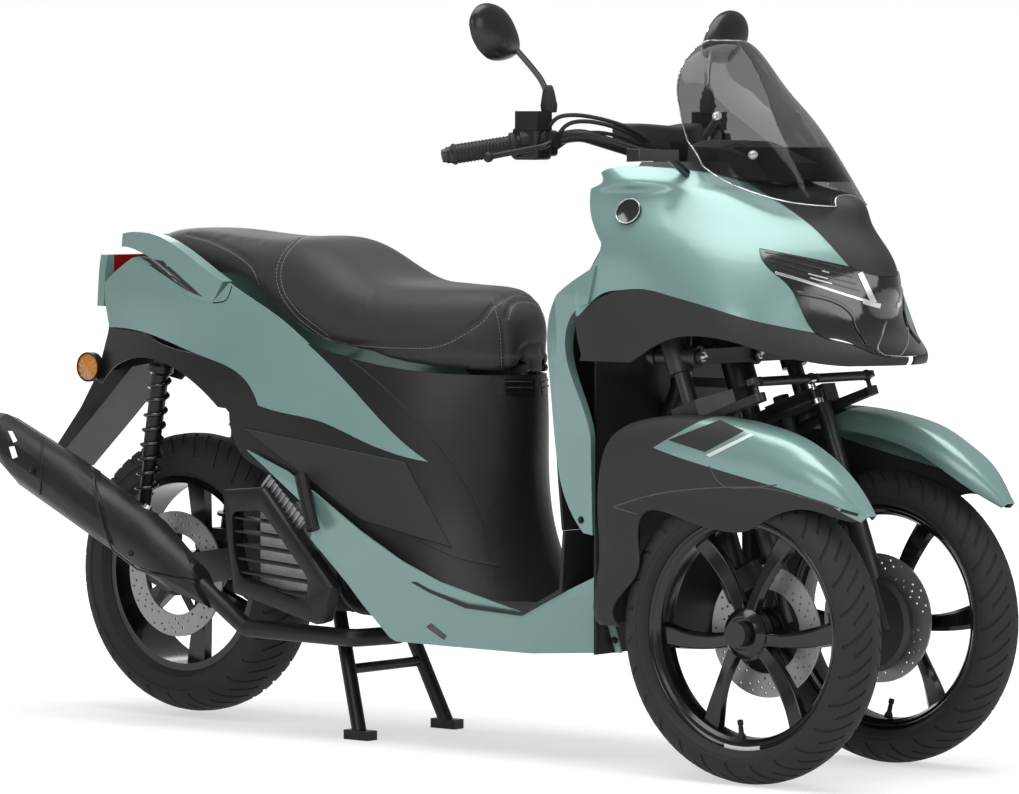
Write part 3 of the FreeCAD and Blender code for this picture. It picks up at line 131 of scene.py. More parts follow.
def makeStudio(settings):
    shape = bmesh.new()
    bmesh.ops.create_grid(shape, x_segments=1, y_segments=1, size=settings["floorHalf"])
    mesh = bpy.data.meshes.new("floor")
    shape.to_mesh(mesh)
    shape.free()
    floor = linkObject("studioFloor", mesh)
    paint = bpy.data.materials.new("studioFloor")
    paint.use_nodes = True
    tree = paint.node_tree
    base = tree.nodes["Principled BSDF"]
    base.inputs["Base Color"].default_value = (settings["floorAlbedo"],) * 3 + (1,)
    base.inputs["Roughness"].default_value = 0.9
    base.inputs["Specular IOR Level"].default_value = 0.1
    both, level = whiteForCamera(tree, base, settings["floorLift"])
    # the floor turns to plain white away from the object
    place = tree.nodes.new("ShaderNodeTexCoord")
    reach = tree.nodes.new("ShaderNodeVectorMath")
    reach.operation = "LENGTH"
    tree.links.new(place.outputs["Object"], reach.inputs[0])
    fade = tree.nodes.new("ShaderNodeMapRange")
    fade.inputs["From Min"].default_value, fade.inputs["From Max"].default_value = settings["fadeFrom"], settings["fadeTo"]
    fade.inputs["To Min"].default_value, fade.inputs["To Max"].default_value = settings["floorLift"], 1.0
    tree.links.new(reach.outputs["Value"], fade.inputs["Value"])
    tree.links.new(fade.outputs["Result"], level.inputs[1])
    tree.links.new(both.outputs[0], tree.nodes["Material Output"].inputs["Surface"])
    mesh.materials.append(paint)

    world = bpy.data.worlds.new("studio")
    world.use_nodes = True
    bpy.context.scene.world = world
    tree = world.node_tree
    soft = tree.nodes["Background"]
    soft.inputs["Color"].default_value = (1, 1, 1, 1)
    soft.inputs["Strength"].default_value = settings["worldLight"]
    white = tree.nodes.new("ShaderNodeBackground")
    white.inputs["Color"].default_value = (1, 1, 1, 1)
    white.inputs["Strength"].default_value = 1.0
    path = tree.nodes.new("ShaderNodeLightPath")
    mix = tree.nodes.new("ShaderNodeMixShader")
    tree.links.new(path.outputs["Is Camera Ray"], mix.inputs[0])
    tree.links.new(soft.outputs[0], mix.inputs[1])
    tree.links.new(white.outputs[0], mix.inputs[2])
    tree.links.new(mix.outputs[0], tree.nodes["World Output"].inputs["Surface"])

    areaLamp("topLamp", (0.3, -0.4, 4.2), (0, 0, 0.5), 4.5, 3.0, settings["keyPower"])
    areaLamp("sideLamp", (1.6, -4.6, 2.2), (0, 0, 0.6), 3.0, 2.0, settings["fillPower"])
    areaLamp("frontLamp", (4.8, -0.6, 2.0), (0.4, 0, 0.6), 2.2, 1.8, settings["fillPower"] * 0.6)
    areaLamp("rearLamp", (-4.0, 2.6, 2.6), (0, 0, 0.7), 2.6, 2.0, settings["fillPower"] * 0.6)

# which body each node rides on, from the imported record
bodyOf = {}
for bodyName, members in frame["record"]["behaviour"]["bodies"].items():
    for member in members:
        bodyOf[member] = bodyName


# shader groups that several finishes share


def newGroup(name, inputs, outputs):
    group = bpy.data.node_groups.new(name, "ShaderNodeTree")
    for label, kind, value in inputs:
        socket = group.interface.new_socket(label, in_out="INPUT", socket_type=kind)
        socket.default_value = value
    for label, kind in outputs:
        group.interface.new_socket(label, in_out="OUTPUT", socket_type=kind)
    start = group.nodes.new("NodeGroupInput")
    end = group.nodes.new("NodeGroupOutput")
    return group, start, end


def makeGrainGroup():
    # fine moulded or sprayed grain: a normal, and a mask that goes with it
    group, start, end = newGroup(
        "surfaceGrain",
        [("Scale", "NodeSocketFloat", 900.0), ("Depth", "NodeSocketFloat", 0.1)],
        [("Normal", "NodeSocketVector"), ("Mask", "NodeSocketFloat")],
    )
    place = group.nodes.new("ShaderNodeTexCoord")
    noise = group.nodes.new("ShaderNodeTexNoise")
    noise.inputs["Detail"].default_value = 3
    bump = group.nodes.new("ShaderNodeBump")
    bump.inputs["Distance"].default_value = 0.0006
    group.links.new(place.outputs["Object"], noise.inputs["Vector"])
    group.links.new(start.outputs["Scale"], noise.inputs["Scale"])
    group.links.new(noise.outputs["Fac"], bump.inputs["Height"])
    group.links.new(start.outputs["Depth"], bump.inputs["Strength"])
    group.links.new(bump.outputs["Normal"], end.inputs["Normal"])
    group.links.new(noise.outputs["Fac"], end.inputs["Mask"])
    return group


def makeTintGroup():
    # slow changes of colour and gloss over a surface
    group, start, end = newGroup(
        "patchyTint",
        [("Colour", "NodeSocketColor", (1, 1, 1, 1)), ("Second", "NodeSocketColor", (1, 1, 1, 1)),
         ("Scale", "NodeSocketFloat", 6.0), ("Low", "NodeSocketFloat", 0.3), ("High", "NodeSocketFloat", 0.5)],
        [("Colour", "NodeSocketColor"), ("Roughness", "NodeSocketFloat")],
    )
    place = group.nodes.new("ShaderNodeTexCoord")
    noise = group.nodes.new("ShaderNodeTexNoise")
    noise.inputs["Detail"].default_value = 5
    noise.inputs["Roughness"].default_value = 0.6
    mix = group.nodes.new("ShaderNodeMix")
    mix.data_type = "RGBA"
    spread = group.nodes.new("ShaderNodeMapRange")
    group.links.new(place.outputs["Object"], noise.inputs["Vector"])
    group.links.new(start.outputs["Scale"], noise.inputs["Scale"])
    group.links.new(noise.outputs["Fac"], mix.inputs["Factor"])
    group.links.new(start.outputs["Colour"], mix.inputs["A"])
    group.links.new(start.outputs["Second"], mix.inputs["B"])
    group.links.new(noise.outputs["Fac"], spread.inputs["Value"])
    spread.inputs["From Min"].default_value = 0.35
    spread.inputs["From Max"].default_value = 0.65
    group.links.new(start.outputs["Low"], spread.inputs["To Min"])
    group.links.new(start.outputs["High"], spread.inputs["To Max"])
    group.links.new([o for o in mix.outputs if o.type == "RGBA"][0], end.inputs["Colour"])
    group.links.new(spread.outputs["Result"], end.inputs["Roughness"])
    return group


grainGroup = makeGrainGroup()
tintGroup = makeTintGroup()


# finishes. Each has its colours, gloss range, grain and coat

finishSettings = {
    "sagePaint": dict(colour=(0.192, 0.322, 0.302), second=(0.202, 0.336, 0.316), patch=3.0, gloss=(0.30, 0.36),
                      grain=(1500, 0.03), metal=0.25, coat=0.35),
    "charcoalPlastic": dict(shine=0.28, colour=(0.026, 0.0265, 0.027), second=(0.031, 0.0315, 0.032), patch=5.0, gloss=(0.50, 0.60),
                            grain=(1400, 0.35)),
    "satinPlastic": dict(shine=0.3, colour=(0.009, 0.009, 0.0095), second=(0.012, 0.012, 0.0125), patch=5.0, gloss=(0.34, 0.42),
                         grain=(900, 0.12)),
    "glossBlack": dict(colour=(0.006, 0.006, 0.007), second=(0.009, 0.009, 0.010), patch=4.0, gloss=(0.10, 0.16),
                       grain=(300, 0.01), coat=0.6),
    "blackSteel": dict(shine=0.35, colour=(0.012, 0.012, 0.013), second=(0.018, 0.018, 0.019), patch=14.0, gloss=(0.30, 0.42),
                       grain=(700, 0.08), metal=0.3),
    "wheelBlack": dict(shine=0.35, colour=(0.003, 0.003, 0.0035), second=(0.005, 0.005, 0.0055), patch=9.0, gloss=(0.18, 0.26),
                       grain=(500, 0.03), coat=0.25),
    "castAluminium": dict(colour=(0.36, 0.36, 0.37), second=(0.27, 0.27, 0.28), patch=22.0, gloss=(0.34, 0.5),
                          grain=(420, 0.3), metal=0.9),
    "darkCasting": dict(colour=(0.030, 0.031, 0.033), second=(0.045, 0.046, 0.048), patch=18.0, gloss=(0.34, 0.48),
                        grain=(500, 0.25), metal=0.5),
    "brightSteel": dict(colour=(0.62, 0.62, 0.63), second=(0.50, 0.50, 0.51), patch=30.0, gloss=(0.20, 0.32),
                        grain=(800, 0.06), metal=1.0),
    "chromedTube": dict(colour=(0.70, 0.71, 0.72), second=(0.62, 0.63, 0.64), patch=12.0, gloss=(0.06, 0.12),
                        grain=(600, 0.01), metal=1.0),
    "mufflerBlack": dict(shine=0.3, colour=(0.016, 0.016, 0.017), second=(0.022, 0.022, 0.023), patch=12.0, gloss=(0.34, 0.46),
                         grain=(1000, 0.12), metal=0.2),
    "pipeSteel": dict(colour=(0.045, 0.043, 0.042), second=(0.07, 0.06, 0.05), patch=16.0, gloss=(0.4, 0.55),
                      grain=(600, 0.15), metal=0.6),
    "finMetal": dict(colour=(0.46, 0.46, 0.47), second=(0.38, 0.38, 0.39), patch=40.0, gloss=(0.4, 0.5),
                     grain=(600, 0.2), metal=0.8),
    "rubberBlack": dict(shine=0.3, colour=(0.018, 0.018, 0.018), second=(0.024, 0.024, 0.024), patch=12.0, gloss=(0.62, 0.74),
                        grain=(800, 0.25)),
    "tyreRubber": dict(shine=0.3, colour=(0.022, 0.022, 0.022), second=(0.034, 0.034, 0.034), patch=9.0, gloss=(0.66, 0.8),
                       grain=(700, 0.3)),
    "silverTrim": dict(colour=(0.55, 0.56, 0.57), second=(0.48, 0.49, 0.50), patch=14.0, gloss=(0.2, 0.28),
                       grain=(900, 0.03), metal=0.8),
    "amberLens": dict(colour=(0.60, 0.21, 0.004), second=(0.50, 0.16, 0.003), patch=60.0, gloss=(0.12, 0.2),
                      grain=(260, 0.25), coat=0.8),
    "redLens": dict(shine=0.3, colour=(0.26, 0.006, 0.006), second=(0.20, 0.004, 0.004), patch=40.0, gloss=(0.22, 0.3),
                    grain=(220, 0.15)),
    "whiteTape": dict(colour=(0.78, 0.78, 0.76), second=(0.70, 0.70, 0.69), patch=30.0, gloss=(0.4, 0.5),
                      grain=(900, 0.05)),
    "seatThread": dict(colour=(0.30, 0.30, 0.29), second=(0.22, 0.22, 0.21), patch=90.0, gloss=(0.6, 0.75),
                       grain=(2500, 0.5)),
    "discSteel": dict(colour=(0.36, 0.36, 0.36), second=(0.33, 0.33, 0.33), patch=50.0, gloss=(0.42, 0.48),
                      grain=(900, 0.05), metal=0.6),
    "satinGloss": dict(shine=0.4, colour=(0.010, 0.010, 0.011), second=(0.014, 0.014, 0.015), patch=8.0,
                       gloss=(0.26, 0.32), grain=(600, 0.02)),
    "mirrorSilver": dict(colour=(0.85, 0.86, 0.87), second=(0.82, 0.83, 0.84), patch=3.0, gloss=(0.02, 0.03),
                         grain=(90, 0.001), metal=1.0),
    "displayGlass": dict(colour=(0.010, 0.012, 0.014), second=(0.014, 0.016, 0.018), patch=20.0, gloss=(0.05, 0.09),
                         grain=(200, 0.005), coat=0.8),
}


def makeFinish(name, settings):
    paint = bpy.data.materials.new(name)
    paint.use_nodes = True
    tree = paint.node_tree
    shader = tree.nodes["Principled BSDF"]
    tint = tree.nodes.new("ShaderNodeGroup")
    tint.node_tree = tintGroup
    tint.inputs["Colour"].default_value = (*settings["colour"], 1)
    tint.inputs["Second"].default_value = (*settings["second"], 1)
    tint.inputs["Scale"].default_value = settings["patch"]
    tint.inputs["Low"].default_value, tint.inputs["High"].default_value = settings["gloss"]
    grain = tree.nodes.new("ShaderNodeGroup")
    grain.node_tree = grainGroup
    grain.inputs["Scale"].default_value, grain.inputs["Depth"].default_value = settings["grain"]
    tree.links.new(tint.outputs["Colour"], shader.inputs["Base Color"])
    tree.links.new(tint.outputs["Roughness"], shader.inputs["Roughness"])
    tree.links.new(grain.outputs["Normal"], shader.inputs["Normal"])
    shader.inputs["Metallic"].default_value = settings.get("metal", 0.0)
    shader.inputs["Coat Weight"].default_value = settings.get("coat", 0.0)
    shader.inputs["Coat Roughness"].default_value = 0.12
    shader.inputs["Specular IOR Level"].default_value = settings.get("shine", 0.5)
    return paint


finishes = {name: makeFinish(name, settings) for name, settings in finishSettings.items()}


def makeVinyl():
    # seat vinyl: small pebbles with a slight sheen
    paint = makeFinish("seatVinyl", dict(shine=0.3, colour=(0.020, 0.020, 0.021), second=(0.027, 0.027, 0.028), patch=7.0,
                                         gloss=(0.46, 0.56), grain=(1600, 0.15)))
    tree = paint.node_tree
    shader = tree.nodes["Principled BSDF"]
    place = tree.nodes.new("ShaderNodeTexCoord")
    pebble = tree.nodes.new("ShaderNodeTexVoronoi")
    pebble.inputs["Scale"].default_value = 700
    bump = tree.nodes.new("ShaderNodeBump")
    bump.inputs["Strength"].default_value = 0.25
    bump.inputs["Distance"].default_value = 0.0006
    tree.links.new(place.outputs["Object"], pebble.inputs["Vector"])
    tree.links.new(pebble.outputs["Distance"], bump.inputs["Height"])
    tree.links.new(bump.outputs["Normal"], shader.inputs["Normal"])
    shader.inputs["Sheen Weight"].default_value = 0.1
    return paint


def makeClear(name, colour, roughness, ior=1.45, grain=(160, 0.01)):
    # a see-through plastic with faint ripples
    paint = bpy.data.materials.new(name)
    paint.use_nodes = True
    tree = paint.node_tree
    shader = tree.nodes["Principled BSDF"]
    shader.inputs["Transmission Weight"].default_value = 1.0
    shader.inputs["IOR"].default_value = ior
    tint = tree.nodes.new("ShaderNodeGroup")
    tint.node_tree = tintGroup
    tint.inputs["Colour"].default_value = (*colour, 1)
    tint.inputs["Second"].default_value = (*[c * 0.96 for c in colour], 1)
    tint.inputs["Low"].default_value = roughness
    tint.inputs["High"].default_value = roughness + 0.02
    tree.links.new(tint.outputs["Colour"], shader.inputs["Base Color"])
    tree.links.new(tint.outputs["Roughness"], shader.inputs["Roughness"])
    ripple = tree.nodes.new("ShaderNodeGroup")
    ripple.node_tree = grainGroup
    ripple.inputs["Scale"].default_value, ripple.inputs["Depth"].default_value = grain
    tree.links.new(ripple.outputs["Normal"], shader.inputs["Normal"])
    return paint


def makeBandedMetal(name, lowFinish, highFinish, level, slope):
    # one casting with two finishes, split at a height that leans with the fork
    paint = makeFinish(name, finishSettings[lowFinish])
    tree = paint.node_tree
    shader = tree.nodes["Principled BSDF"]
    upper = finishSettings[highFinish]
    place = tree.nodes.new("ShaderNodeTexCoord")
    split = tree.nodes.new("ShaderNodeSeparateXYZ")
    tree.links.new(place.outputs["Object"], split.inputs["Vector"])
    lean = tree.nodes.new("ShaderNodeMath")
    lean.operation = "MULTIPLY_ADD"
    lean.inputs[1].default_value = slope
    tree.links.new(split.outputs["X"], lean.inputs[0])
    tree.links.new(split.outputs["Z"], lean.inputs[2])
    above = tree.nodes.new("ShaderNodeMath")
    above.operation = "GREATER_THAN"
    above.inputs[1].default_value = level
    tree.links.new(lean.outputs[0], above.inputs[0])
    mix = tree.nodes.new("ShaderNodeMix")
    mix.data_type = "RGBA"
    source = shader.inputs["Base Color"].links[0].from_socket
    tree.links.new(above.outputs[0], mix.inputs["Factor"])
    tree.links.new(source, [s for s in mix.inputs if s.type == "RGBA"][0])
    [s for s in mix.inputs if s.type == "RGBA"][1].default_value = (*upper["colour"], 1)
    tree.links.new([s for s in mix.outputs if s.type == "RGBA"][0], shader.inputs["Base Color"])
    tree.links.new(above.outputs[0], shader.inputs["Metallic"])
    gloss = tree.nodes.new("ShaderNodeMapRange")
    gloss.inputs["To Min"].default_value = finishSettings[lowFinish]["gloss"][0]
    gloss.inputs["To Max"].default_value = upper["gloss"][0]
    tree.links.new(above.outputs[0], gloss.inputs["Value"])
    tree.links.new(gloss.outputs["Result"], shader.inputs["Roughness"])
    return paint


finishes["seatVinyl"] = makeVinyl()
finishes["smokedScreen"] = makeClear("smokedScreen", (0.50, 0.51, 0.52), 0.02, ior=1.2)
finishes["clearLens"] = makeClear("clearLens", (0.93, 0.94, 0.95), 0.03)
print("finishes ready:", len(finishes))


# helpers for pieces


def meshFrom(shape, name):
    mesh = bpy.data.meshes.new(name)
    shape.to_mesh(mesh)
    shape.free()
    return mesh


def markSharp(shape, degrees):
    limit = math.radians(degrees)
    for face in shape.faces:
        face.smooth = True
    for edge in shape.edges:
        if len(edge.link_faces) == 2:
            edge.smooth = edge.calc_face_angle(0) < limit


def addPiece(shape, name, body, finish, sharp=35, bevel=0.0, subdivide=0):
    markSharp(shape, sharp)
    piece = linkObject(name, meshFrom(shape, name))
    piece.data.materials.append(finishes[finish])
    if subdivide:
        smooth = piece.modifiers.new("smooth", "SUBSURF")
        smooth.levels = smooth.render_levels = subdivide
    if bevel:
        edge = piece.modifiers.new("softEdge", "BEVEL")
        edge.width = bevel
        edge.segments = 2
        edge.limit_method = "ANGLE"
        edge.angle_limit = math.radians(40)
        edge.use_clamp_overlap = True
        edge.harden_normals = False
    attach(piece, body)
    return piece


def nodeShape(name):
    # a merged copy of a CAD node's mesh
    shape = bmesh.new()
    shape.from_mesh(nodes[name].data)
    bmesh.ops.remove_doubles(shape, verts=shape.verts, dist=0.00002)
    bmesh.ops.dissolve_degenerate(shape, edges=shape.edges, dist=0.00001)
    return shape


def dressedCopy(node, finish, pieceName, sharp=32, bevel=0.0):
    piece = addPiece(nodeShape(node), pieceName, bodyOf[node], finish, sharp=sharp, bevel=bevel)
    weighted = piece.modifiers.new("evenShade", "WEIGHTED_NORMAL")
    weighted.keep_sharp = True
    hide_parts(node)
    return piece


dressedNodes = {
    "front_cowl": ("sagePaint", "cowlPanels"), "leg_shield": ("sagePaint", "legBands"),
    "lower_body": ("sagePaint", "sillPanels"), "tail_panels": ("sagePaint", "tailPanels"),
    "grab_rail": ("sagePaint", "grabHandles"), "fender_left": ("sagePaint", "fenderTopLeft"),
    "fender_right": ("sagePaint", "fenderTopRight"), "fender_skirt_left": ("charcoalPlastic", "fenderSkirtLeft"),
    "fender_skirt_right": ("charcoalPlastic", "fenderSkirtRight"), "arch_trim": ("charcoalPlastic", "archPanel"),
    "nose": ("charcoalPlastic", "bonnetPanel"), "side_covers": ("satinPlastic", "seatSkirt"),
    "lamp_face": ("glossBlack", "nosePlate"), "inner_shield": ("charcoalPlastic", "kneePanel"),
    "floor": ("charcoalPlastic", "footFloor"), "underbody": ("satinPlastic", "bellyPan"),
    "rear_fender": ("satinPlastic", "rearMudguard"), "dashboard": ("charcoalPlastic", "dashHousing"),
    "front_rim_left": ("wheelBlack", "rimLeft"), "front_rim_right": ("wheelBlack", "rimRight"),
    "rear_rim": ("wheelBlack", "rimRear"), "frame": ("blackSteel", "frameTubes"),
    "engine": ("darkCasting", "engineCase"), "exhaust_pipe": ("mufflerBlack", "exhaustPipe"),
    "fork_left": ("darkCasting", "forkLeft"), "fork_right": ("darkCasting", "forkRight"),
    "upper_arm": ("darkCasting", "upperLink"), "lower_arm": ("darkCasting", "lowerLink"),
    "carrier_left": ("darkCasting", "uprightLeft"), "carrier_right": ("darkCasting", "uprightRight"),
    "tie_rod": ("darkCasting", "tieRod"), "tie_rod_stud": ("brightSteel", "tieRodStud"),
    "front_caliper_left": ("blackSteel", "caliperLeft"), "front_caliper_right": ("blackSteel", "caliperRight"),
    "handlebar": ("blackSteel", "barTube"), "bar_controls": ("satinPlastic", "barControls"),
    "mirrors": ("glossBlack", "mirrorPair"), "centre_stand": ("blackSteel", "parkingStand"),
    "passenger_pegs": ("satinPlastic", "pillionPegs"), "storage_tub": ("charcoalPlastic", "storageTub"),
    "radiator": ("finMetal", "radiatorCore"), "rear_shocks": ("blackSteel", "shockBodies"),
    "tail_lamp": ("redLens", "tailLens"), "windscreen": ("smokedScreen", "flyScreen"),
}
dressed = {}
for node, (finish, pieceName) in dressedNodes.items():
    dressed[node] = dressedCopy(node, finish, pieceName)
print("solids dressed:", len(dressed))


# tyres: a spun carcass with slanted grooves pressed into the tread

tyreSettings = {
    "left": dict(node="front_tyre_left", centre=(0.7475, 0.2, 0.25), radius=0.25, half=0.045, rim=0.184, rimHalf=0.026),
    "right": dict(node="front_tyre_right", centre=(0.7475, -0.2, 0.25), radius=0.25, half=0.045, rim=0.184, rimHalf=0.026),
    "rear": dict(node="rear_tyre", centre=(-0.6625, 0, 0.264), radius=0.256, half=0.065, rim=0.172, rimHalf=0.042),
}
treadSettings = {"columns": 216, "pitch": 4, "grooveDepth": 0.0026, "grooveEdge": 0.0011, "sweep": 0.20}


def tyreProfile(radius, half, rim, rimHalf):
    # half section from the crown to the bead: offset from the middle and radius
    crown = [(0.0, radius), (half * 0.20, radius - 0.0006), (half * 0.42, radius - 0.0034), (half * 0.62, radius - 0.009),
             (half * 0.80, radius - 0.017), (half * 0.93, radius - 0.027), (half * 0.985, radius - 0.036)]
    wall = [(half * 0.995, radius - 0.042), (half * 0.965, radius - 0.043), (half * 0.955, rim + 0.018),
            (half * 0.86, rim + 0.0125), (rimHalf * 1.12, rim + 0.0075), (rimHalf, rim + 0.0002)]
    return crown + wall


def makeTyre(tag, settings, tread):
    right = tyreProfile(settings["radius"], settings["half"], settings["rim"], settings["rimHalf"])
    full = [(-y, r) for y, r in reversed(right[1:])] + right
    centre = Vector(settings["centre"])
    shape = bmesh.new()
    last = None
    for offset, radius in full:
        share = abs(offset) / settings["half"]
        turn = tread["sweep"] * min(share, 1.0) ** 1.4  # the cross lines sweep back towards the shoulder
        spot = shape.verts.new(centre + Vector((radius * math.sin(turn), offset, radius * math.cos(turn))))
        if last:
            shape.edges.new((last, spot))
        last = spot
    step = 2 * math.pi / tread["columns"]
    bmesh.ops.spin(shape, geom=list(shape.verts) + list(shape.edges), cent=centre, axis=(0, 1, 0), angle=2 * math.pi,
                   steps=tread["columns"], use_merge=True)
    bmesh.ops.recalc_face_normals(shape, faces=shape.faces)
    grooves = []
    for face in shape.faces:
        middle = face.calc_center_median() - centre
        share = abs(middle.y) / settings["half"]
        if not 0.16 < share < 0.96 or math.hypot(middle.x, middle.z) < settings["radius"] - 0.034:
            continue
        turn = math.atan2(middle.x, middle.z) - tread["sweep"] * min(share, 1.0) ** 1.4
        column = round(turn / step - 0.5)
        shift = 2 if middle.y > 0 else 0
        reach = 0.96 if column % (2 * tread["pitch"]) == shift else 0.72
        if column % tread["pitch"] == shift and share < reach:
            grooves.append(face)
    bmesh.ops.inset_region(shape, faces=grooves, thickness=tread["grooveEdge"], depth=-tread["grooveDepth"],
                           use_even_offset=True, use_boundary=True)
    piece = addPiece(shape, "tyre_" + tag, bodyOf[settings["node"]], "tyreRubber", sharp=28)
    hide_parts(settings["node"])


for tag, settings in tyreSettings.items():
    makeTyre(tag, settings, treadSettings)
print("tyres ready")


# brake discs: a drilled ring and a dark spider that carries it

discSettings = {
    "left": dict(node="front_disc_left", centre=(0.7475, 0.16, 0.25), radius=0.110, thickness=0.004),
    "right": dict(node="front_disc_right", centre=(0.7475, -0.16, 0.25), radius=0.110, thickness=0.004),
    "rear": dict(node="rear_disc", centre=(-0.6625, -0.062, 0.264), radius=0.115, thickness=0.004),
}


def makeDisc(tag, settings):
    centre = Vector(settings["centre"])
    flat = Matrix.Translation(centre) @ Matrix.Rotation(math.radians(90), 4, "X")
    shape = bmesh.new()
    ring = []
    for radius in (settings["radius"] - 0.040, settings["radius"]):
        made = bmesh.ops.create_circle(shape, segments=96, radius=radius, matrix=flat)
        ring += list({edge for vert in made["verts"] for edge in vert.link_edges})
    made = bmesh.ops.bridge_loops(shape, edges=ring)
    bmesh.ops.solidify(shape, geom=made["faces"], thickness=settings["thickness"])
    offset = sum((vert.co for vert in shape.verts), Vector()) / len(shape.verts) - centre
    bmesh.ops.translate(shape, verts=shape.verts, vec=-offset)
    bmesh.ops.recalc_face_normals(shape, faces=shape.faces)
    piece = addPiece(shape, "brakeRing_" + tag, bodyOf[settings["node"]], "discSteel", sharp=30)
    drill = bmesh.new()
    for row in range(4):
        for index in range(24):
            reach = settings["radius"] - 0.0075 - 0.0082 * row
            turn = 2 * math.pi * (index + 0.34 * row) / 24
            if (index + row) % 4 == 3:
                continue
            place = Vector((reach * math.sin(turn), 0, reach * math.cos(turn)))
            bmesh.ops.create_cone(drill, segments=10, radius1=0.0023, radius2=0.0023, depth=0.03, cap_ends=True,
                                  matrix=Matrix.Translation(place) @ flat)
    cutter = linkObject("drill", meshFrom(drill, "drill"))
    holes = piece.modifiers.new("holes", "BOOLEAN")
    holes.object = cutter
    holes.operation = "DIFFERENCE"
    holes.solver = "EXACT"
    bpy.context.view_layer.update()
    drilled = bpy.data.meshes.new_from_object(piece.evaluated_get(bpy.context.evaluated_depsgraph_get()))
    piece.modifiers.clear()
    piece.data = drilled
    bpy.data.objects.remove(cutter)
    spider = bmesh.new()
    for arm in range(5):
        turn = 2 * math.pi * arm / 5
        made = bmesh.ops.create_cube(spider, size=1)
        reach = settings["radius"] - 0.030
        bmesh.ops.scale(spider, verts=made["verts"], vec=(0.015, settings["thickness"] * 0.9, reach - 0.012))
        bmesh.ops.translate(spider, verts=made["verts"], vec=(0.006, 0, reach / 2 + 0.006))
        bmesh.ops.rotate(spider, verts=made["verts"], cent=(0, 0, 0), matrix=Matrix.Rotation(turn, 3, "Y"))
    hub = bmesh.ops.create_cone(spider, segments=40, radius1=0.040, radius2=0.040, depth=settings["thickness"] * 1.6,
                                cap_ends=True, matrix=Matrix.Rotation(math.radians(90), 4, "X"))
    bmesh.ops.translate(spider, verts=spider.verts, vec=centre)
    carrier = addPiece(spider, "discCarrier_" + tag, bodyOf[settings["node"]], "blackSteel", bevel=0.0008)
    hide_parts(settings["node"])
    return hub, carrier


for tag, settings in discSettings.items():
    makeDisc(tag, settings)
print("brake discs ready")

# helpers that set pieces on the surfaces of the CAD nodes


def treeOf(*names):
    shape = bmesh.new()
    for name in names:
        shape.from_mesh(nodes[name].data)
    tree = BVHTree.FromBMesh(shape)
    shape.free()
    return tree


def cameraTurn():
    look = Vector(cameraSettings["target"]) - Vector(cameraSettings["place"])
    roll = Matrix.Rotation(math.radians(cameraSettings["rollDegrees"]), 3, "Z")
    return look.to_track_quat("-Z", "Y").to_matrix() @ roll


def seenAt(tree, across, down):
    # the spot of a surface, with its normal, that shows at a point of the 1019 x 794 picture
    scale = cameraSettings["sensor"] / cameraSettings["lens"] / 1019
    ray = cameraTurn() @ Vector(((across - 509.5) * scale, (397 - down) * scale, -1))
    place, normal, _, _ = tree.ray_cast(Vector(cameraSettings["place"]), ray.normalized())
    if place is None:
        return None
    if normal.dot(ray) > 0:
        normal = -normal
    return place, normal


def sideSpot(tree, x, z, side):
    place, normal, _, _ = tree.ray_cast(Vector((x, side * 1.5, z)), Vector((0, -side, 0)))
    if place is None:
        return None
    return place, normal if normal.y * side > 0 else -normal


def topSpot(tree, x, y):
    place, normal, _, _ = tree.ray_cast(Vector((x, y, 2)), Vector((0, 0, -1)))
    if place is None:
        return None
    return place, normal if normal.z > 0 else -normal


def otherSide(spots):
    return [(Vector((p.x, -p.y, p.z)), Vector((n.x, -n.y, n.z))) for p, n in spots]


def smoothRun(points, perSpan=6):
    # a smooth line through its points
    points = [Vector(point) for point in points]
    run = []
    for index in range(len(points) - 1):
        before = points[max(index - 1, 0)]
        start, end = points[index], points[index + 1]
        after = points[min(index + 2, len(points) - 1)]
        for part in range(perSpan):
            t = part / perSpan
            run.append(0.5 * (2 * start + (end - before) * t + (2 * before - 5 * start + 4 * end - after) * t * t
                              + (3 * start - before - 3 * end + after) * t * t * t))
    run.append(points[-1])
    return run


def addRibbon(shape, spots, width, thickness, lift=0.0):
    # a strip laid along spots of a surface, its underside just inside it
    spots = [spot for spot in spots if spot]
    rail, shift = [], []
    for index, (place, normal) in enumerate(spots):
        along = spots[min(index + 1, len(spots) - 1)][0] - spots[max(index - 1, 0)][0]
        across = along.cross(normal).normalized() * width
        rail.append(shape.verts.new(place + normal * (thickness + lift) - across / 2))
        shift.append(across)
    edges = [shape.edges.new(pair) for pair in zip(rail, rail[1:])]
    wide = bmesh.ops.extrude_edge_only(shape, edges=edges)
    moved = [item for item in wide["geom"] if isinstance(item, bmesh.types.BMVert)]
    for vert, across in zip(moved, shift):
        vert.co = vert.co + across
    faces = [item for item in wide["geom"] if isinstance(item, bmesh.types.BMFace)]
    bmesh.ops.recalc_face_normals(shape, faces=faces)
    if faces and faces[0].normal.dot(spots[0][1]) < 0:
        bmesh.ops.reverse_faces(shape, faces=faces)
    bmesh.ops.solidify(shape, geom=faces, thickness=thickness + 0.0006)


def ribbonPiece(name, runs, width, thickness, body, finish, bevel=0.0, lift=0.0):
    shape = bmesh.new()
    for spots in runs:
        addRibbon(shape, spots, width, thickness, lift)
    return addPiece(shape, name, body, finish, bevel=bevel)


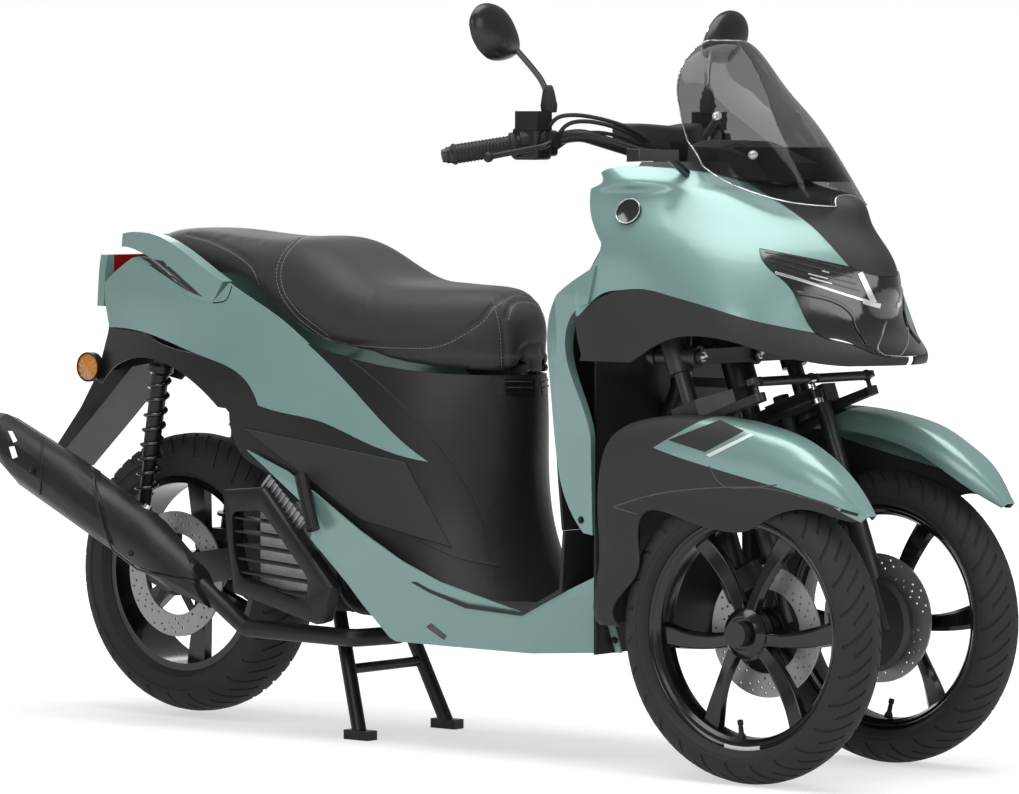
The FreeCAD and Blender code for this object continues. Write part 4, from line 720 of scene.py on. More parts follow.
def tubeShape(shape, points, radius, sides=10):
    # a round tube along a smooth line, added to a shape
    curve = bpy.data.curves.new("run", "CURVE")
    curve.dimensions = "3D"
    curve.bevel_depth = radius
    curve.bevel_resolution = max(sides // 2 - 2, 1)
    curve.use_fill_caps = True
    curve.resolution_u = 5
    line = curve.splines.new("NURBS")
    line.points.add(len(points) - 1)
    for point, place in zip(line.points, points):
        point.co = (*place, 1)
    line.order_u = 3
    line.use_endpoint_u = True
    holder = bpy.data.objects.new("run", curve)
    bpy.context.scene.collection.objects.link(holder)
    bpy.context.view_layer.update()
    mesh = bpy.data.meshes.new_from_object(holder.evaluated_get(bpy.context.evaluated_depsgraph_get()))
    shape.from_mesh(mesh)
    bpy.data.objects.remove(holder)
    bpy.data.meshes.remove(mesh)


def tubePiece(name, runs, radius, body, finish, slotName, sides=10):
    shape = bmesh.new()
    for points in runs:
        tubeShape(shape, points, radius, sides)
    bmesh.ops.remove_doubles(shape, verts=shape.verts, dist=0.00002)
    bmesh.ops.recalc_face_normals(shape, faces=shape.faces)
    return addPiece(shape, name, body, finish, sharp=50)


def turnedTo(place, normal):
    return Matrix.Translation(place) @ Vector(normal).to_track_quat("Z", "Y").to_matrix().to_4x4()


def addBolt(shape, place, normal, radius, height=None, recess=True):
    # a round head on a thin washer, with a socket
    height = height or radius * 0.7
    spot = turnedTo(place, normal)
    washer = bmesh.ops.create_cone(shape, segments=20, radius1=radius * 1.45, radius2=radius * 1.4, depth=height * 0.4,
                                   cap_ends=True, matrix=spot @ Matrix.Translation((0, 0, height * 0.1)))
    head = bmesh.ops.create_cone(shape, segments=20, radius1=radius, radius2=radius * 0.86, depth=height,
                                 cap_ends=True, matrix=spot @ Matrix.Translation((0, 0, height * 0.75)))
    if recess:
        out = Vector(normal).normalized()
        top = max({face for vert in head["verts"] for face in vert.link_faces}, key=lambda face: face.calc_center_median().dot(out))
        bmesh.ops.inset_region(shape, faces=[top], thickness=radius * 0.42, depth=0)
        bmesh.ops.translate(shape, verts=top.verts, vec=-out * height * 0.45)
    return washer


def boltPiece(name, spots, radius, body, finish, recess=True):
    found = [spot for spot in spots if spot]
    if not found:
        return None
    shape = bmesh.new()
    for place, normal in found:
        addBolt(shape, place, normal, radius, recess=recess)
    return addPiece(shape, name, body, finish, sharp=30)


def addBlock(shape, low, high):
    # a box between two corners, as a start for shaping
    made = bmesh.ops.create_cube(shape, size=1)
    low, high = Vector(low), Vector(high)
    bmesh.ops.scale(shape, verts=made["verts"], vec=high - low)
    bmesh.ops.translate(shape, verts=made["verts"], vec=(low + high) / 2)
    return made["verts"]


def addPlate(shape, outline, low, high):
    # a flat outline in x and z, given a thickness in y
    face = shape.faces.new([shape.verts.new((x, low, z)) for x, z in outline])
    lifted = bmesh.ops.extrude_face_region(shape, geom=[face])
    moved = [item for item in lifted["geom"] if isinstance(item, bmesh.types.BMVert)]
    bmesh.ops.translate(shape, verts=moved, vec=(0, high - low, 0))
    bmesh.ops.recalc_face_normals(shape, faces=shape.faces)


def cutWith(piece, cutterShape, operation="DIFFERENCE"):
    # cuts or joins a closed shape into a piece, and keeps the result as its mesh
    cutter = linkObject("cutter", meshFrom(cutterShape, "cutter"))
    step = piece.modifiers.new("cut", "BOOLEAN")
    step.object = cutter
    step.operation = operation
    step.solver = "EXACT"
    bpy.context.view_layer.update()
    result = bpy.data.meshes.new_from_object(piece.evaluated_get(bpy.context.evaluated_depsgraph_get()))
    piece.modifiers.clear()
    piece.data = result
    bpy.data.objects.remove(cutter)


# seat: the moulded pad, blown up a little, with pressed seams and a row of thread beside each

seatSettings = {
    "voxel": 0.006, "pressure": 4.0, "frames": 20, "cap": 0.005, "footHeight": 0.03, "seamDepth": 0.0035, "seamReach": 0.008,
    "stitchLength": 0.0042, "stitchGap": 0.0024, "stitchRadius": 0.0006,
    "frontSeam": [(0.128, -0.105), (0.108, -0.06), (0.100, 0.0), (0.108, 0.06), (0.128, 0.105)],
}
seatLines = {
    # picture points of the sewn lines on the near side; they are mirrored to the far side
    "pillionEdge": [(188, 234), (214, 241), (241, 255), (255, 269), (262, 290), (276, 314)],
    "stepLine": [(300, 238), (286, 252), (279, 269), (281, 290), (297, 314), (328, 338)],
    "riderEdge": [(352, 343), (400, 345), (440, 343), (478, 322), (492, 306), (512, 294)],
    "frontEdge": [(496, 300), (503, 330), (505, 372)],
}


def softened(piece, settings):
    # cloth with pressure rounds the pad; no point moves further than the cap
    start = [vert.co.copy() for vert in piece.data.vertices]
    cloth = piece.modifiers.new("fill", "CLOTH")
    cloth.settings.quality = 4
    cloth.settings.mass = 0.3
    cloth.settings.tension_stiffness = 12
    cloth.settings.compression_stiffness = 12
    cloth.settings.use_pressure = True
    cloth.settings.uniform_pressure_force = settings["pressure"]
    cloth.settings.effector_weights.gravity = 0
    cloth.collision_settings.use_collision = False
    cloth.point_cache.frame_start = 1
    cloth.point_cache.frame_end = settings["frames"]
    scene = bpy.context.scene
    for step in range(1, settings["frames"] + 1):
        scene.frame_set(step)
    bpy.context.view_layer.update()
    result = bpy.data.meshes.new_from_object(piece.evaluated_get(bpy.context.evaluated_depsgraph_get()))
    piece.modifiers.clear()
    piece.data = result
    scene.frame_set(1)
    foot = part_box("seat")[0][2] + settings["footHeight"]
    for vert, first in zip(result.vertices, start):
        move = vert.co - first
        if move.length > settings["cap"]:
            move = move.normalized() * settings["cap"]
        low = first.z < foot
        vert.co = first + move * (0.2 if low else 1.0)


def makeSeat(settings, lines):
    raw = nodeShape("seat")
    piece = linkObject("seatPad", meshFrom(raw, "seatPad"))
    mesher = piece.modifiers.new("remesh", "REMESH")
    mesher.mode = "VOXEL"
    mesher.voxel_size = settings["voxel"]
    bpy.context.view_layer.update()
    piece.data = bpy.data.meshes.new_from_object(piece.evaluated_get(bpy.context.evaluated_depsgraph_get()))
    piece.modifiers.clear()
    shape = bmesh.new()
    shape.from_mesh(piece.data)
    for _ in range(4):
        bmesh.ops.smooth_vert(shape, verts=shape.verts, factor=0.5, use_axis_x=True, use_axis_y=True, use_axis_z=True)
    shape.to_mesh(piece.data)
    shape.free()
    softened(piece, settings)
    shape = bmesh.new()
    shape.from_mesh(piece.data)
    tree = BVHTree.FromBMesh(shape)
    runs = {}
    for name, points in lines.items():
        near = [seenAt(tree, *point) for point in smoothRun([(*p, 0) for p in points], 8) for point in [point[:2]]]
        near = [spot for spot in near if spot]
        runs[name] = [near, otherSide(near)]
    across = [topSpot(tree, x, y) for x, y, _ in smoothRun([(*p, 0) for p in settings["frontSeam"]], 8)]
    runs["frontSeam"] = [[spot for spot in across if spot]]
    seams = [run for group in runs.values() for run in group if len(run) > 1]
    finder = KDTree(sum(len(run) * 4 for run in seams))
    for run in seams:
        for (first, _), (second, _) in zip(run, run[1:]):
            for part in range(4):
                finder.insert(first.lerp(second, part / 4), 0)
    finder.balance()
    shape.normal_update()
    moves = []
    for vert in shape.verts:
        place, _, distance = finder.find(vert.co)
        if distance < settings["seamReach"]:
            moves.append((vert, settings["seamDepth"] * (1 - distance / settings["seamReach"]) ** 2))
    for vert, depth in moves:
        vert.co = vert.co - vert.normal * depth
    for face in shape.faces:
        face.smooth = True
    shape.to_mesh(piece.data)
    shape.free()
    piece.data.materials.clear()
    piece.data.materials.append(finishes["seatVinyl"])
    smooth = piece.modifiers.new("smooth", "SUBSURF")
    smooth.levels = smooth.render_levels = 1
    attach(piece, "seat")
    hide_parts("seat")
    return runs


def addStitches(shape, tree, run, offset, settings):
    # short threads on one side of a seam
    travelled, drawn = 0.0, 0.0
    step = settings["stitchLength"] + settings["stitchGap"]
    for (first, normal), (second, _) in zip(run, run[1:]):
        span = (second - first).length
        if span < 1e-6:
            continue
        along = (second - first) / span
        across = along.cross(normal).normalized() * offset
        while drawn < travelled + span:
            place = first + along * (drawn - travelled) + across
            near, facing, _, _ = tree.find_nearest(place)
            thread = turnedTo(near + facing * 0.0003, along)
            bmesh.ops.create_cone(shape, segments=6, radius1=settings["stitchRadius"], radius2=settings["stitchRadius"] * 0.8,
                                  depth=settings["stitchLength"], cap_ends=True, matrix=thread)
            drawn += step
        travelled += span


def makeStitching(settings, runs):
    holder = bpy.data.objects["seatPad"]
    bpy.context.view_layer.update()
    final = bpy.data.meshes.new_from_object(holder.evaluated_get(bpy.context.evaluated_depsgraph_get()))
    tree = BVHTree.FromPolygons([v.co.copy() for v in final.vertices], [tuple(p.vertices) for p in final.polygons])
    shape = bmesh.new()
    for name, group in runs.items():
        for run in group:
            addStitches(shape, tree, run, 0.0055, settings)
            if name == "stepLine":
                addStitches(shape, tree, run, -0.0055, settings)
    addPiece(shape, "seatStitching", "seat", "seatThread", sharp=60)


seatRuns = makeSeat(seatSettings, seatLines)
makeStitching(seatSettings, seatRuns)
print("seat ready")


def patchOn(shape, spotAt, corners, columns, rows, lift, thickness):
    # a plate that follows a surface inside four corners; spotAt gives the surface at a point
    made = bmesh.ops.create_grid(shape, x_segments=columns, y_segments=rows, size=0.5)
    verts, missed = made["verts"], []
    first, second, third, fourth = [Vector(corner) for corner in corners]
    normals = {}
    for vert in verts:
        across, up = vert.co.x + 0.5, vert.co.y + 0.5
        point = first.lerp(second, across).lerp(fourth.lerp(third, across), up)
        spot = spotAt(point.x, point.y)
        if spot is None:
            missed.append(vert)
            continue
        vert.co = spot[0] + spot[1] * (lift + thickness)
        normals[vert] = spot[1]
    faces = list({face for vert in verts for face in vert.link_faces})
    out = next(iter(normals.values()))
    if missed:
        bmesh.ops.delete(shape, geom=missed, context="VERTS")
        faces = [face for face in faces if face.is_valid]
    bmesh.ops.recalc_face_normals(shape, faces=faces)
    if faces[0].normal.dot(out) < 0:
        bmesh.ops.reverse_faces(shape, faces=faces)
    bmesh.ops.solidify(shape, geom=faces, thickness=thickness + 0.0006)


def mirrorInY(shape):
    # the far side's twin of everything made so far
    copy = bmesh.ops.duplicate(shape, geom=list(shape.verts) + list(shape.edges) + list(shape.faces))
    moved = [item for item in copy["geom"] if isinstance(item, bmesh.types.BMVert)]
    faces = [item for item in copy["geom"] if isinstance(item, bmesh.types.BMFace)]
    for vert in moved:
        vert.co.y = -vert.co.y
    bmesh.ops.reverse_faces(shape, faces=faces)


def partOf(node, keep):
    # the solids of a CAD node whose points pass a test
    shape = nodeShape(node)
    drop = [vert for vert in shape.verts if not keep(vert.co)]
    bmesh.ops.delete(shape, geom=drop, context="VERTS")
    return shape


# silencer: end cap with two slots, a side shield with a rolled edge, and its fixings

mufflerSettings = {
    "slots": [[(8, 431), (14, 431), (15, 441), (9, 443)], [(9, 447), (15, 446), (17, 457), (11, 459)]],
    "shield": [(90, 467), (160, 505), (199, 581), (122, 561)],
    "shieldSeam": [(92, 463), (95, 490), (105, 528), (121, 558), (150, 572), (195, 583)],
    "capSeam": [(40, 426), (42, 452), (40, 494)],
    "bolts": [(33, 470), (132, 553)],
    "brightBolt": (147, 509),
}


def makeMuffler(settings):
    can = dressedCopy("muffler", "mufflerBlack", "silencerCan")
    tree = treeOf("muffler")
    for outline in settings["slots"]:
        places = [seenAt(tree, *point)[0] for point in outline]
        slotShape = bmesh.new()
        addPlate(slotShape, [(place.x, place.z) for place in places], -0.06, 0.16)
        ahead = (places[0] - Vector(cameraSettings["place"])).normalized()
        for vert in slotShape.verts:
            along = vert.co.y / ahead.y  # the slots lie along the line of sight through the cap
            vert.co = Vector((vert.co.x + ahead.x * along, places[0].y + vert.co.y, vert.co.z + ahead.z * along))
        cutWith(can, slotShape)
    can.data.materials.clear()
    can.data.materials.append(finishes["mufflerBlack"])
    shape = bmesh.new()
    patchOn(shape, lambda across, down: seenAt(tree, across, down), settings["shield"], 14, 10, 0.001, 0.0022)
    addPiece(shape, "silencerShield", "chassis", "mufflerBlack", sharp=40, bevel=0.0012)
    seams = [[seenAt(tree, point.x, point.y) for point in smoothRun([(*p, 0) for p in settings[name]])]
             for name in ("shieldSeam", "capSeam")]
    ribbonPiece("silencerSeams", seams, 0.005, 0.0022, "chassis", "mufflerBlack", bevel=0.0009)
    boltPiece("silencerBolts", [seenAt(tree, *point) for point in settings["bolts"]], 0.006, "chassis", "blackSteel")
    boltPiece("silencerMount", [seenAt(tree, *settings["brightBolt"])], 0.009, "chassis", "brightSteel")


makeMuffler(mufflerSettings)
print("silencer ready")


# radiator cover: a deep frame, slanted blades, and the core's fins behind

coverSettings = {
    "outline": [(-0.418, 0.436), (-0.320, 0.445), (-0.158, 0.276), (-0.180, 0.214), (-0.200, 0.208), (-0.392, 0.252),
                (-0.408, 0.345)],
    "opening": [(-0.392, 0.398), (-0.322, 0.404), (-0.212, 0.288), (-0.218, 0.246), (-0.372, 0.280), (-0.388, 0.330)],
    "low": -0.212, "high": -0.1815, "blades": 6, "bladeTurn": 6, "finPitch": 0.0034,
}


def makeRadiatorCover(settings):
    shape = bmesh.new()
    addPlate(shape, settings["outline"], settings["low"], settings["high"])
    edges = [edge for edge in shape.edges if abs(edge.verts[0].co.y - edge.verts[1].co.y) < 1e-6
             and edge.verts[0].co.y < settings["low"] + 0.001]
    bmesh.ops.bevel(shape, geom=edges, offset=0.010, segments=3, affect="EDGES", profile=0.5, material=-1)
    piece = addPiece(shape, "radiatorCover", "chassis", "satinPlastic")
    hole = bmesh.new()
    addPlate(hole, settings["opening"], settings["low"] - 0.02, settings["high"] + 0.02)
    bmesh.ops.bevel(hole, geom=[edge for edge in hole.edges if abs(edge.verts[0].co.y - edge.verts[1].co.y) > 0.01],
                    offset=0.012, segments=3, affect="EDGES", profile=0.5, material=-1)
    cutWith(piece, hole)
    piece.data.materials.clear()
    piece.data.materials.append(finishes["satinPlastic"])
    soft = piece.modifiers.new("softEdge", "BEVEL")
    soft.width, soft.segments, soft.limit_method = 0.0015, 2, "ANGLE"
    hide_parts("radiator_cover")
    zLow = min(z for _, z in settings["opening"])
    zHigh = max(z for _, z in settings["opening"])
    blades = bmesh.new()
    for index in range(settings["blades"]):
        z = zLow + (zHigh - zLow) * (index + 0.7) / (settings["blades"] + 0.6)
        verts = addBlock(blades, (-0.400, -0.0085, -0.0018), (-0.195, 0.0085, 0.0018))
        bmesh.ops.rotate(blades, verts=verts, cent=(0, 0, 0), matrix=Matrix.Rotation(math.radians(settings["bladeTurn"]), 3, "X"))
        bmesh.ops.rotate(blades, verts=verts, cent=(-0.3, 0, 0), matrix=Matrix.Rotation(math.radians(4), 3, "Y"))
        bmesh.ops.translate(blades, verts=verts, vec=(0, (settings["low"] + settings["high"]) / 2 - 0.002, z))
    bladePiece = addPiece(blades, "radiatorBlades", "chassis", "satinPlastic")
    keep = bmesh.new()
    addPlate(keep, [(x, z) for x, z in settings["outline"]], settings["low"] + 0.003, settings["high"])
    cutWith(bladePiece, keep, "INTERSECT")
    bladePiece.data.materials.clear()
    bladePiece.data.materials.append(finishes["satinPlastic"])
    fins = bmesh.new()
    low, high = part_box("radiator")
    count = int((high[0] - low[0]) / settings["finPitch"])
    for index in range(count):
        x = low[0] + (index + 0.5) * settings["finPitch"]
        addBlock(fins, (x - 0.0008, low[1] - 0.0004, low[2] + 0.006), (x + 0.0008, low[1] + 0.002, high[2] - 0.006))
    addPiece(fins, "radiatorFins", "chassis", "finMetal")


makeRadiatorCover(coverSettings)
print("radiator cover ready")


# headlamps: ribbed dark inserts, a bright border, and the lens in the middle of the nose

lampSettings = {
    "border": [(775, 273), (800, 280), (830, 290), (856, 298), (869, 302)],
    "borderWide": [(863, 301), (872, 304), (880, 306)],
    "arm": [(860, 273), (866, 286), (874, 303)],
    "ribs": [[(765, 252), (800, 258), (846, 270)], [(768, 257), (800, 264), (852, 277)], [(771, 262), (805, 271), (856, 284)],
             [(774, 267), (810, 277), (860, 291)]],
    "brightLines": [[(808, 274), (828, 279)], [(810, 278), (832, 284)], [(822, 271), (829, 273)]],
    "lens": [(886, 321), (882, 336), (878, 350), (890, 357), (901, 355), (908, 342), (907, 320)],
    "tube": [(792, 292), (830, 300), (850, 312), (858, 330), (868, 346)],
}


def makeLamps(settings):
    dressedCopy("headlamps", "displayGlass", "headlampUnits")
    tree = treeOf("headlamps", "lamp_face", "nose")

    def lineAt(points):
        return [spot for spot in (seenAt(tree, p.x, p.y) for p in smoothRun([(*q, 0) for q in points])) if spot]

    both = lambda points: [lineAt(points), otherSide(lineAt(points))]
    ribbonPiece("lampBorder", both(settings["border"]), 0.0050, 0.0020, "chassis", "silverTrim", bevel=0.0006)
    ribbonPiece("lampBorderEnd", both(settings["borderWide"]), 0.0090, 0.0022, "chassis", "silverTrim", bevel=0.0006)
    ribbonPiece("lampArm", both(settings["arm"]), 0.0105, 0.0021, "chassis", "silverTrim", bevel=0.0006)
    ribs = [run for points in settings["ribs"] for run in both(points)]
    ribbonPiece("lampRibs", ribs, 0.0024, 0.0014, "chassis", "glossBlack", bevel=0.0004)
    lines = [run for points in settings["brightLines"] for run in both(points)]
    ribbonPiece("lampReflectors", lines, 0.0022, 0.0018, "chassis", "brightSteel", bevel=0.0004)
    ribbonPiece("noseLensRim", [lineAt(settings["lens"])], 0.0012, 0.0016, "chassis", "silverTrim")
    ribbonPiece("noseTubes", both(settings["tube"]), 0.0060, 0.0030, "chassis", "glossBlack", bevel=0.0014)


makeLamps(lampSettings)
print("headlamps ready")


# indicators: slim clear lenses in front, round faceted amber ones behind

signalSettings = {"rearCentre": (-0.827, 0.640), "lensRadius": 0.0245, "facets": 24, "crown": 0.005}


def makeSignals(settings):
    front = addPiece(partOf("turn_signals", lambda co: co.x > 0), "frontIndicators", "chassis", "displayGlass", bevel=0.0012)
    rear = addPiece(partOf("turn_signals", lambda co: co.x < 0), "rearIndicatorCups", "chassis", "satinPlastic")
    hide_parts("turn_signals")
    tree = treeOf("turn_signals")
    for side, tag in ((-1, "right"), (1, "left")):
        place, normal = sideSpot(tree, *settings["rearCentre"], side)
        shape = bmesh.new()
        flat = Matrix.Translation(place) @ Matrix.Rotation(math.radians(90), 4, "X")
        made = bmesh.ops.create_circle(shape, cap_ends=True, segments=settings["facets"], radius=settings["lensRadius"], matrix=flat)
        face = made["verts"][0].link_faces[0]
        poked = bmesh.ops.poke(shape, faces=[face])
        for index, vert in enumerate(made["verts"]):
            vert.co.y += side * (0.0012 if index % 2 else 0.0)
        poked["verts"][0].co.y += side * settings["crown"]
        bmesh.ops.recalc_face_normals(shape, faces=shape.faces)
        if poked["faces"][0].normal.y * side < 0:
            bmesh.ops.reverse_faces(shape, faces=shape.faces)
        bmesh.ops.solidify(shape, geom=list(shape.faces), thickness=0.002)
        addPiece(shape, "rearIndicatorLens_" + tag, "chassis", "amberLens", sharp=4)
        ring = bmesh.new()
        circle = [Vector((place.x + 0.0258 * math.sin(turn), place.y + side * 0.0012, place.z + 0.0258 * math.cos(turn)))
                  for turn in (2 * math.pi * step / 40 for step in range(41))]
        tubeShape(ring, circle, 0.0016)
        addPiece(ring, "rearIndicatorRing_" + tag, "chassis", "satinPlastic")
    return rear


makeSignals(signalSettings)


# plain round badge on the cowl, blank dark panel and pale stripe on the fender

badgeSettings = {"place": (629, 212), "radius": 0.0235, "rim": 0.0022}
decalSettings = {
    "panel": [(668, 440), (720, 420), (744, 431), (705, 452)],
    "stripe": [(706, 455), (751, 433), (754, 435), (710, 457)],
}


def makeBadge(settings):
    tree = treeOf("front_cowl")
    place, normal = seenAt(tree, *settings["place"])
    dish, ring = bmesh.new(), bmesh.new()
    spot = turnedTo(place, normal)
    bmesh.ops.create_cone(dish, segments=48, radius1=settings["radius"], radius2=settings["radius"] * 0.97, depth=0.0060,
                          cap_ends=True, matrix=spot @ Matrix.Translation((0, 0, 0.0018)))
    top = max(dish.faces, key=lambda face: face.calc_center_median().dot(normal))
    bmesh.ops.inset_region(dish, faces=[top], thickness=settings["rim"] * 1.4, depth=0)
    inner = max(dish.faces, key=lambda face: face.calc_center_median().dot(normal) - face.calc_perimeter() * 0)
    bmesh.ops.translate(dish, verts=top.verts, vec=-normal * 0.0012)
    circle = [spot @ Vector((math.cos(turn) * (settings["radius"] - settings["rim"] * 0.6),
                             math.sin(turn) * (settings["radius"] - settings["rim"] * 0.6), 0.0050))
              for turn in (2 * math.pi * step / 48 for step in range(49))]
    tubeShape(ring, circle, settings["rim"] * 0.55, 8)
    mirrorInY(dish)
    mirrorInY(ring)
    addPiece(dish, "cowlBadge", "chassis", "glossBlack", sharp=35)
    addPiece(ring, "cowlBadgeRing", "chassis", "silverTrim", sharp=60)
    return inner


def makeDecals(settings):
    tree = treeOf("fender_right")
    for name, finish in (("panel", "charcoalPlastic"), ("stripe", "whiteTape")):
        for side, body in ((-1, "fork_r"), (1, "fork_l")):
            shape = bmesh.new()
            patchOn(shape, lambda across, down: seenAt(tree, across, down), settings[name], 12, 6, 0.0002, 0.0003)
            if side > 0:
                for vert in shape.verts:
                    vert.co.y = -vert.co.y
                bmesh.ops.reverse_faces(shape, faces=shape.faces)
            addPiece(shape, "fender" + name.capitalize() + ("_right" if side < 0 else "_left"), body, finish)


makeBadge(badgeSettings)
makeDecals(decalSettings)
print("badge and decals ready")


# rear shock absorbers: damper, dust boot and coil

shockSettings = {
    "foot": (-0.702, 0.118, 0.322), "head": (-0.640, 0.118, 0.690), "coilRadius": 0.0195, "wire": 0.0036, "turns": 8.5,
    "coilStart": 0.24, "coilEnd": 0.86,
}


def makeShock(tag, side, settings):
    foot = Vector(settings["foot"]) * 1
    head = Vector(settings["head"]) * 1
    foot.y *= side
    head.y *= side
    length = (head - foot).length
    body = bmesh.new()
    profile = [(0.0, 0.009), (0.02, 0.013), (0.10, 0.013), (0.10, 0.0225), (0.115, 0.0225), (0.12, 0.012), (0.40, 0.012),
               (0.42, 0.0155), (0.84, 0.0155), (0.855, 0.0225), (0.885, 0.0225), (0.90, 0.015), (0.97, 0.014), (1.0, 0.010)]
    chain = [body.verts.new((reach, 0, part * length)) for part, reach in profile]
    for pair in zip(chain, chain[1:]):
        body.edges.new(pair)
    bmesh.ops.spin(body, geom=list(body.verts) + list(body.edges), cent=(0, 0, 0), axis=(0, 0, 1), angle=2 * math.pi,
                   steps=28, use_merge=True)
    bmesh.ops.holes_fill(body, edges=body.edges, sides=60)
    bmesh.ops.recalc_face_normals(body, faces=body.faces)
    coil = bmesh.new()
    count = int(settings["turns"] * 10)
    helix = []
    for index in range(count + 1):
        part = index / count
        turn = 2 * math.pi * settings["turns"] * part
        height = length * (settings["coilStart"] + (settings["coilEnd"] - settings["coilStart"]) * part)
        helix.append(Vector((settings["coilRadius"] * math.cos(turn), settings["coilRadius"] * math.sin(turn), height)))
    tubeShape(coil, helix, settings["wire"], 8)
    stand = turnedTo(foot, head - foot)
    bmesh.ops.transform(body, matrix=stand, verts=body.verts)
    bmesh.ops.transform(coil, matrix=stand, verts=coil.verts)
    damper = addPiece(body, "shockBody_" + tag, "chassis", "blackSteel")
    addPiece(coil, "shockCoil_" + tag, "chassis", "glossBlack", sharp=60)
    return damper


shockRight = makeShock("right", -1, shockSettings)
shockLeft = makeShock("left", 1, shockSettings)
bpy.data.objects.remove(dressed["rear_shocks"])
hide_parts("rear_shocks")
print("shock absorbers ready")


# mirrors: shaped shells with glass behind, thin stems and rubber boots

mirrorSettings = {
    "centre": (0.298, 0.322, 1.238), "half": (0.021, 0.068, 0.046), "tiltDegrees": 24, "pinch": 0.34,
    "stem": [(0.305, 0.276, 1.214), (0.318, 0.250, 1.185), (0.333, 0.226, 1.150), (0.336, 0.222, 1.118)], "stemRadius": 0.0052,
    "boot": [(0.0, 0.013), (0.012, 0.0145), (0.022, 0.0125), (0.034, 0.0105), (0.044, 0.0075), (0.046, 0.0055)],
}


def lathe(shape, profile, place, direction, steps=28):
    # spins a profile of (height, radius) pairs about a line
    start = len(shape.verts)
    part = bmesh.new()
    chain = [part.verts.new((radius, 0, height)) for height, radius in profile]
    for pair in zip(chain, chain[1:]):
        part.edges.new(pair)
    bmesh.ops.spin(part, geom=list(part.verts) + list(part.edges), cent=(0, 0, 0), axis=(0, 0, 1), angle=2 * math.pi,
                   steps=steps, use_merge=True)
    rims = [edge for edge in part.edges if edge.is_boundary]
    bmesh.ops.holes_fill(part, edges=rims, sides=steps + 2)
    bmesh.ops.recalc_face_normals(part, faces=part.faces)
    bmesh.ops.transform(part, matrix=turnedTo(place, direction), verts=part.verts)
    mesh = meshFrom(part, "lathe")
    shape.from_mesh(mesh)
    bpy.data.meshes.remove(mesh)
    return start


def makeMirrors(settings):
    shells, glass, stems, boots = bmesh.new(), bmesh.new(), bmesh.new(), bmesh.new()
    centre = Vector(settings["centre"])
    bmesh.ops.create_uvsphere(shells, u_segments=48, v_segments=24, radius=1, matrix=Matrix.Rotation(math.radians(90), 4, "Y"))
    for vert in shells.verts:
        narrow = 1 - settings["pinch"] * max(0.0, -vert.co.y) ** 1.5  # narrower towards the stem
        back = 0.30 if vert.co.x < 0 else 1.0
        vert.co = Vector((vert.co.x * settings["half"][0] * back, vert.co.y * settings["half"][1], vert.co.z * settings["half"][2] * narrow))
    turn = Matrix.Rotation(math.radians(settings["tiltDegrees"]), 4, "X")
    bmesh.ops.transform(shells, matrix=Matrix.Translation(centre) @ turn, verts=shells.verts)
    made = bmesh.ops.create_circle(glass, cap_ends=True, segments=48, radius=1)
    for vert in glass.verts:
        y, z = vert.co.x * 0.9, vert.co.y * 0.9
        narrow = 1 - settings["pinch"] * max(0.0, -y) ** 1.5
        vert.co = Vector((-settings["half"][0] * 0.30, y * settings["half"][1], z * settings["half"][2] * narrow))
    faces = list(glass.faces)
    bmesh.ops.recalc_face_normals(glass, faces=faces)
    if faces[0].normal.x > 0:
        bmesh.ops.reverse_faces(glass, faces=faces)
    bmesh.ops.solidify(glass, geom=faces, thickness=0.002)
    bmesh.ops.transform(glass, matrix=Matrix.Translation(centre + Vector((-0.0006, 0, 0))) @ turn, verts=glass.verts)
    tubeShape(stems, [Vector(point) for point in settings["stem"]], settings["stemRadius"], 10)
    lathe(boots, settings["boot"], Vector(settings["stem"][-1]) - Vector((0, 0, 0.012)), (0, 0.05, 1))
    for shape in (shells, glass, stems, boots):
        mirrorInY(shape)
    shell = addPiece(shells, "mirrorShells", "steering", "satinGloss", sharp=50)
    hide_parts("mirrors")
    addPiece(glass, "mirrorGlass", "steering", "mirrorSilver")
    addPiece(stems, "mirrorStems", "steering", "glossBlack", sharp=50)
    addPiece(boots, "mirrorBoots", "steering", "rubberBlack", sharp=40)
    return made


bpy.data.objects.remove(dressed["mirrors"])
makeMirrors(mirrorSettings)


# handlebar: ribbed grips, switch boxes, hoses and a cover over the middle

barSettings = {
    "gripRings": 15, "gripRadius": 0.0168, "end": (0.2208, 0.340, 1.035), "knee": (0.3788, 0.190, 1.069), "gripLength": 0.112,
    "hoses": [
        [(0.338, 0.232, 1.070), (0.352, 0.236, 1.096), (0.374, 0.205, 1.104), (0.404, 0.150, 1.094), (0.430, 0.095, 1.074), (0.436, 0.045, 1.040)],
        [(0.350, 0.222, 1.056), (0.362, 0.222, 1.084), (0.384, 0.190, 1.094), (0.412, 0.135, 1.082), (0.428, 0.085, 1.062), (0.434, 0.042, 1.030)],
        [(0.344, 0.212, 1.046), (0.374, 0.200, 1.070), (0.398, 0.150, 1.074), (0.420, 0.090, 1.056), (0.434, 0.040, 1.026)],
    ],
    "hoseRadius": 0.0036,
}


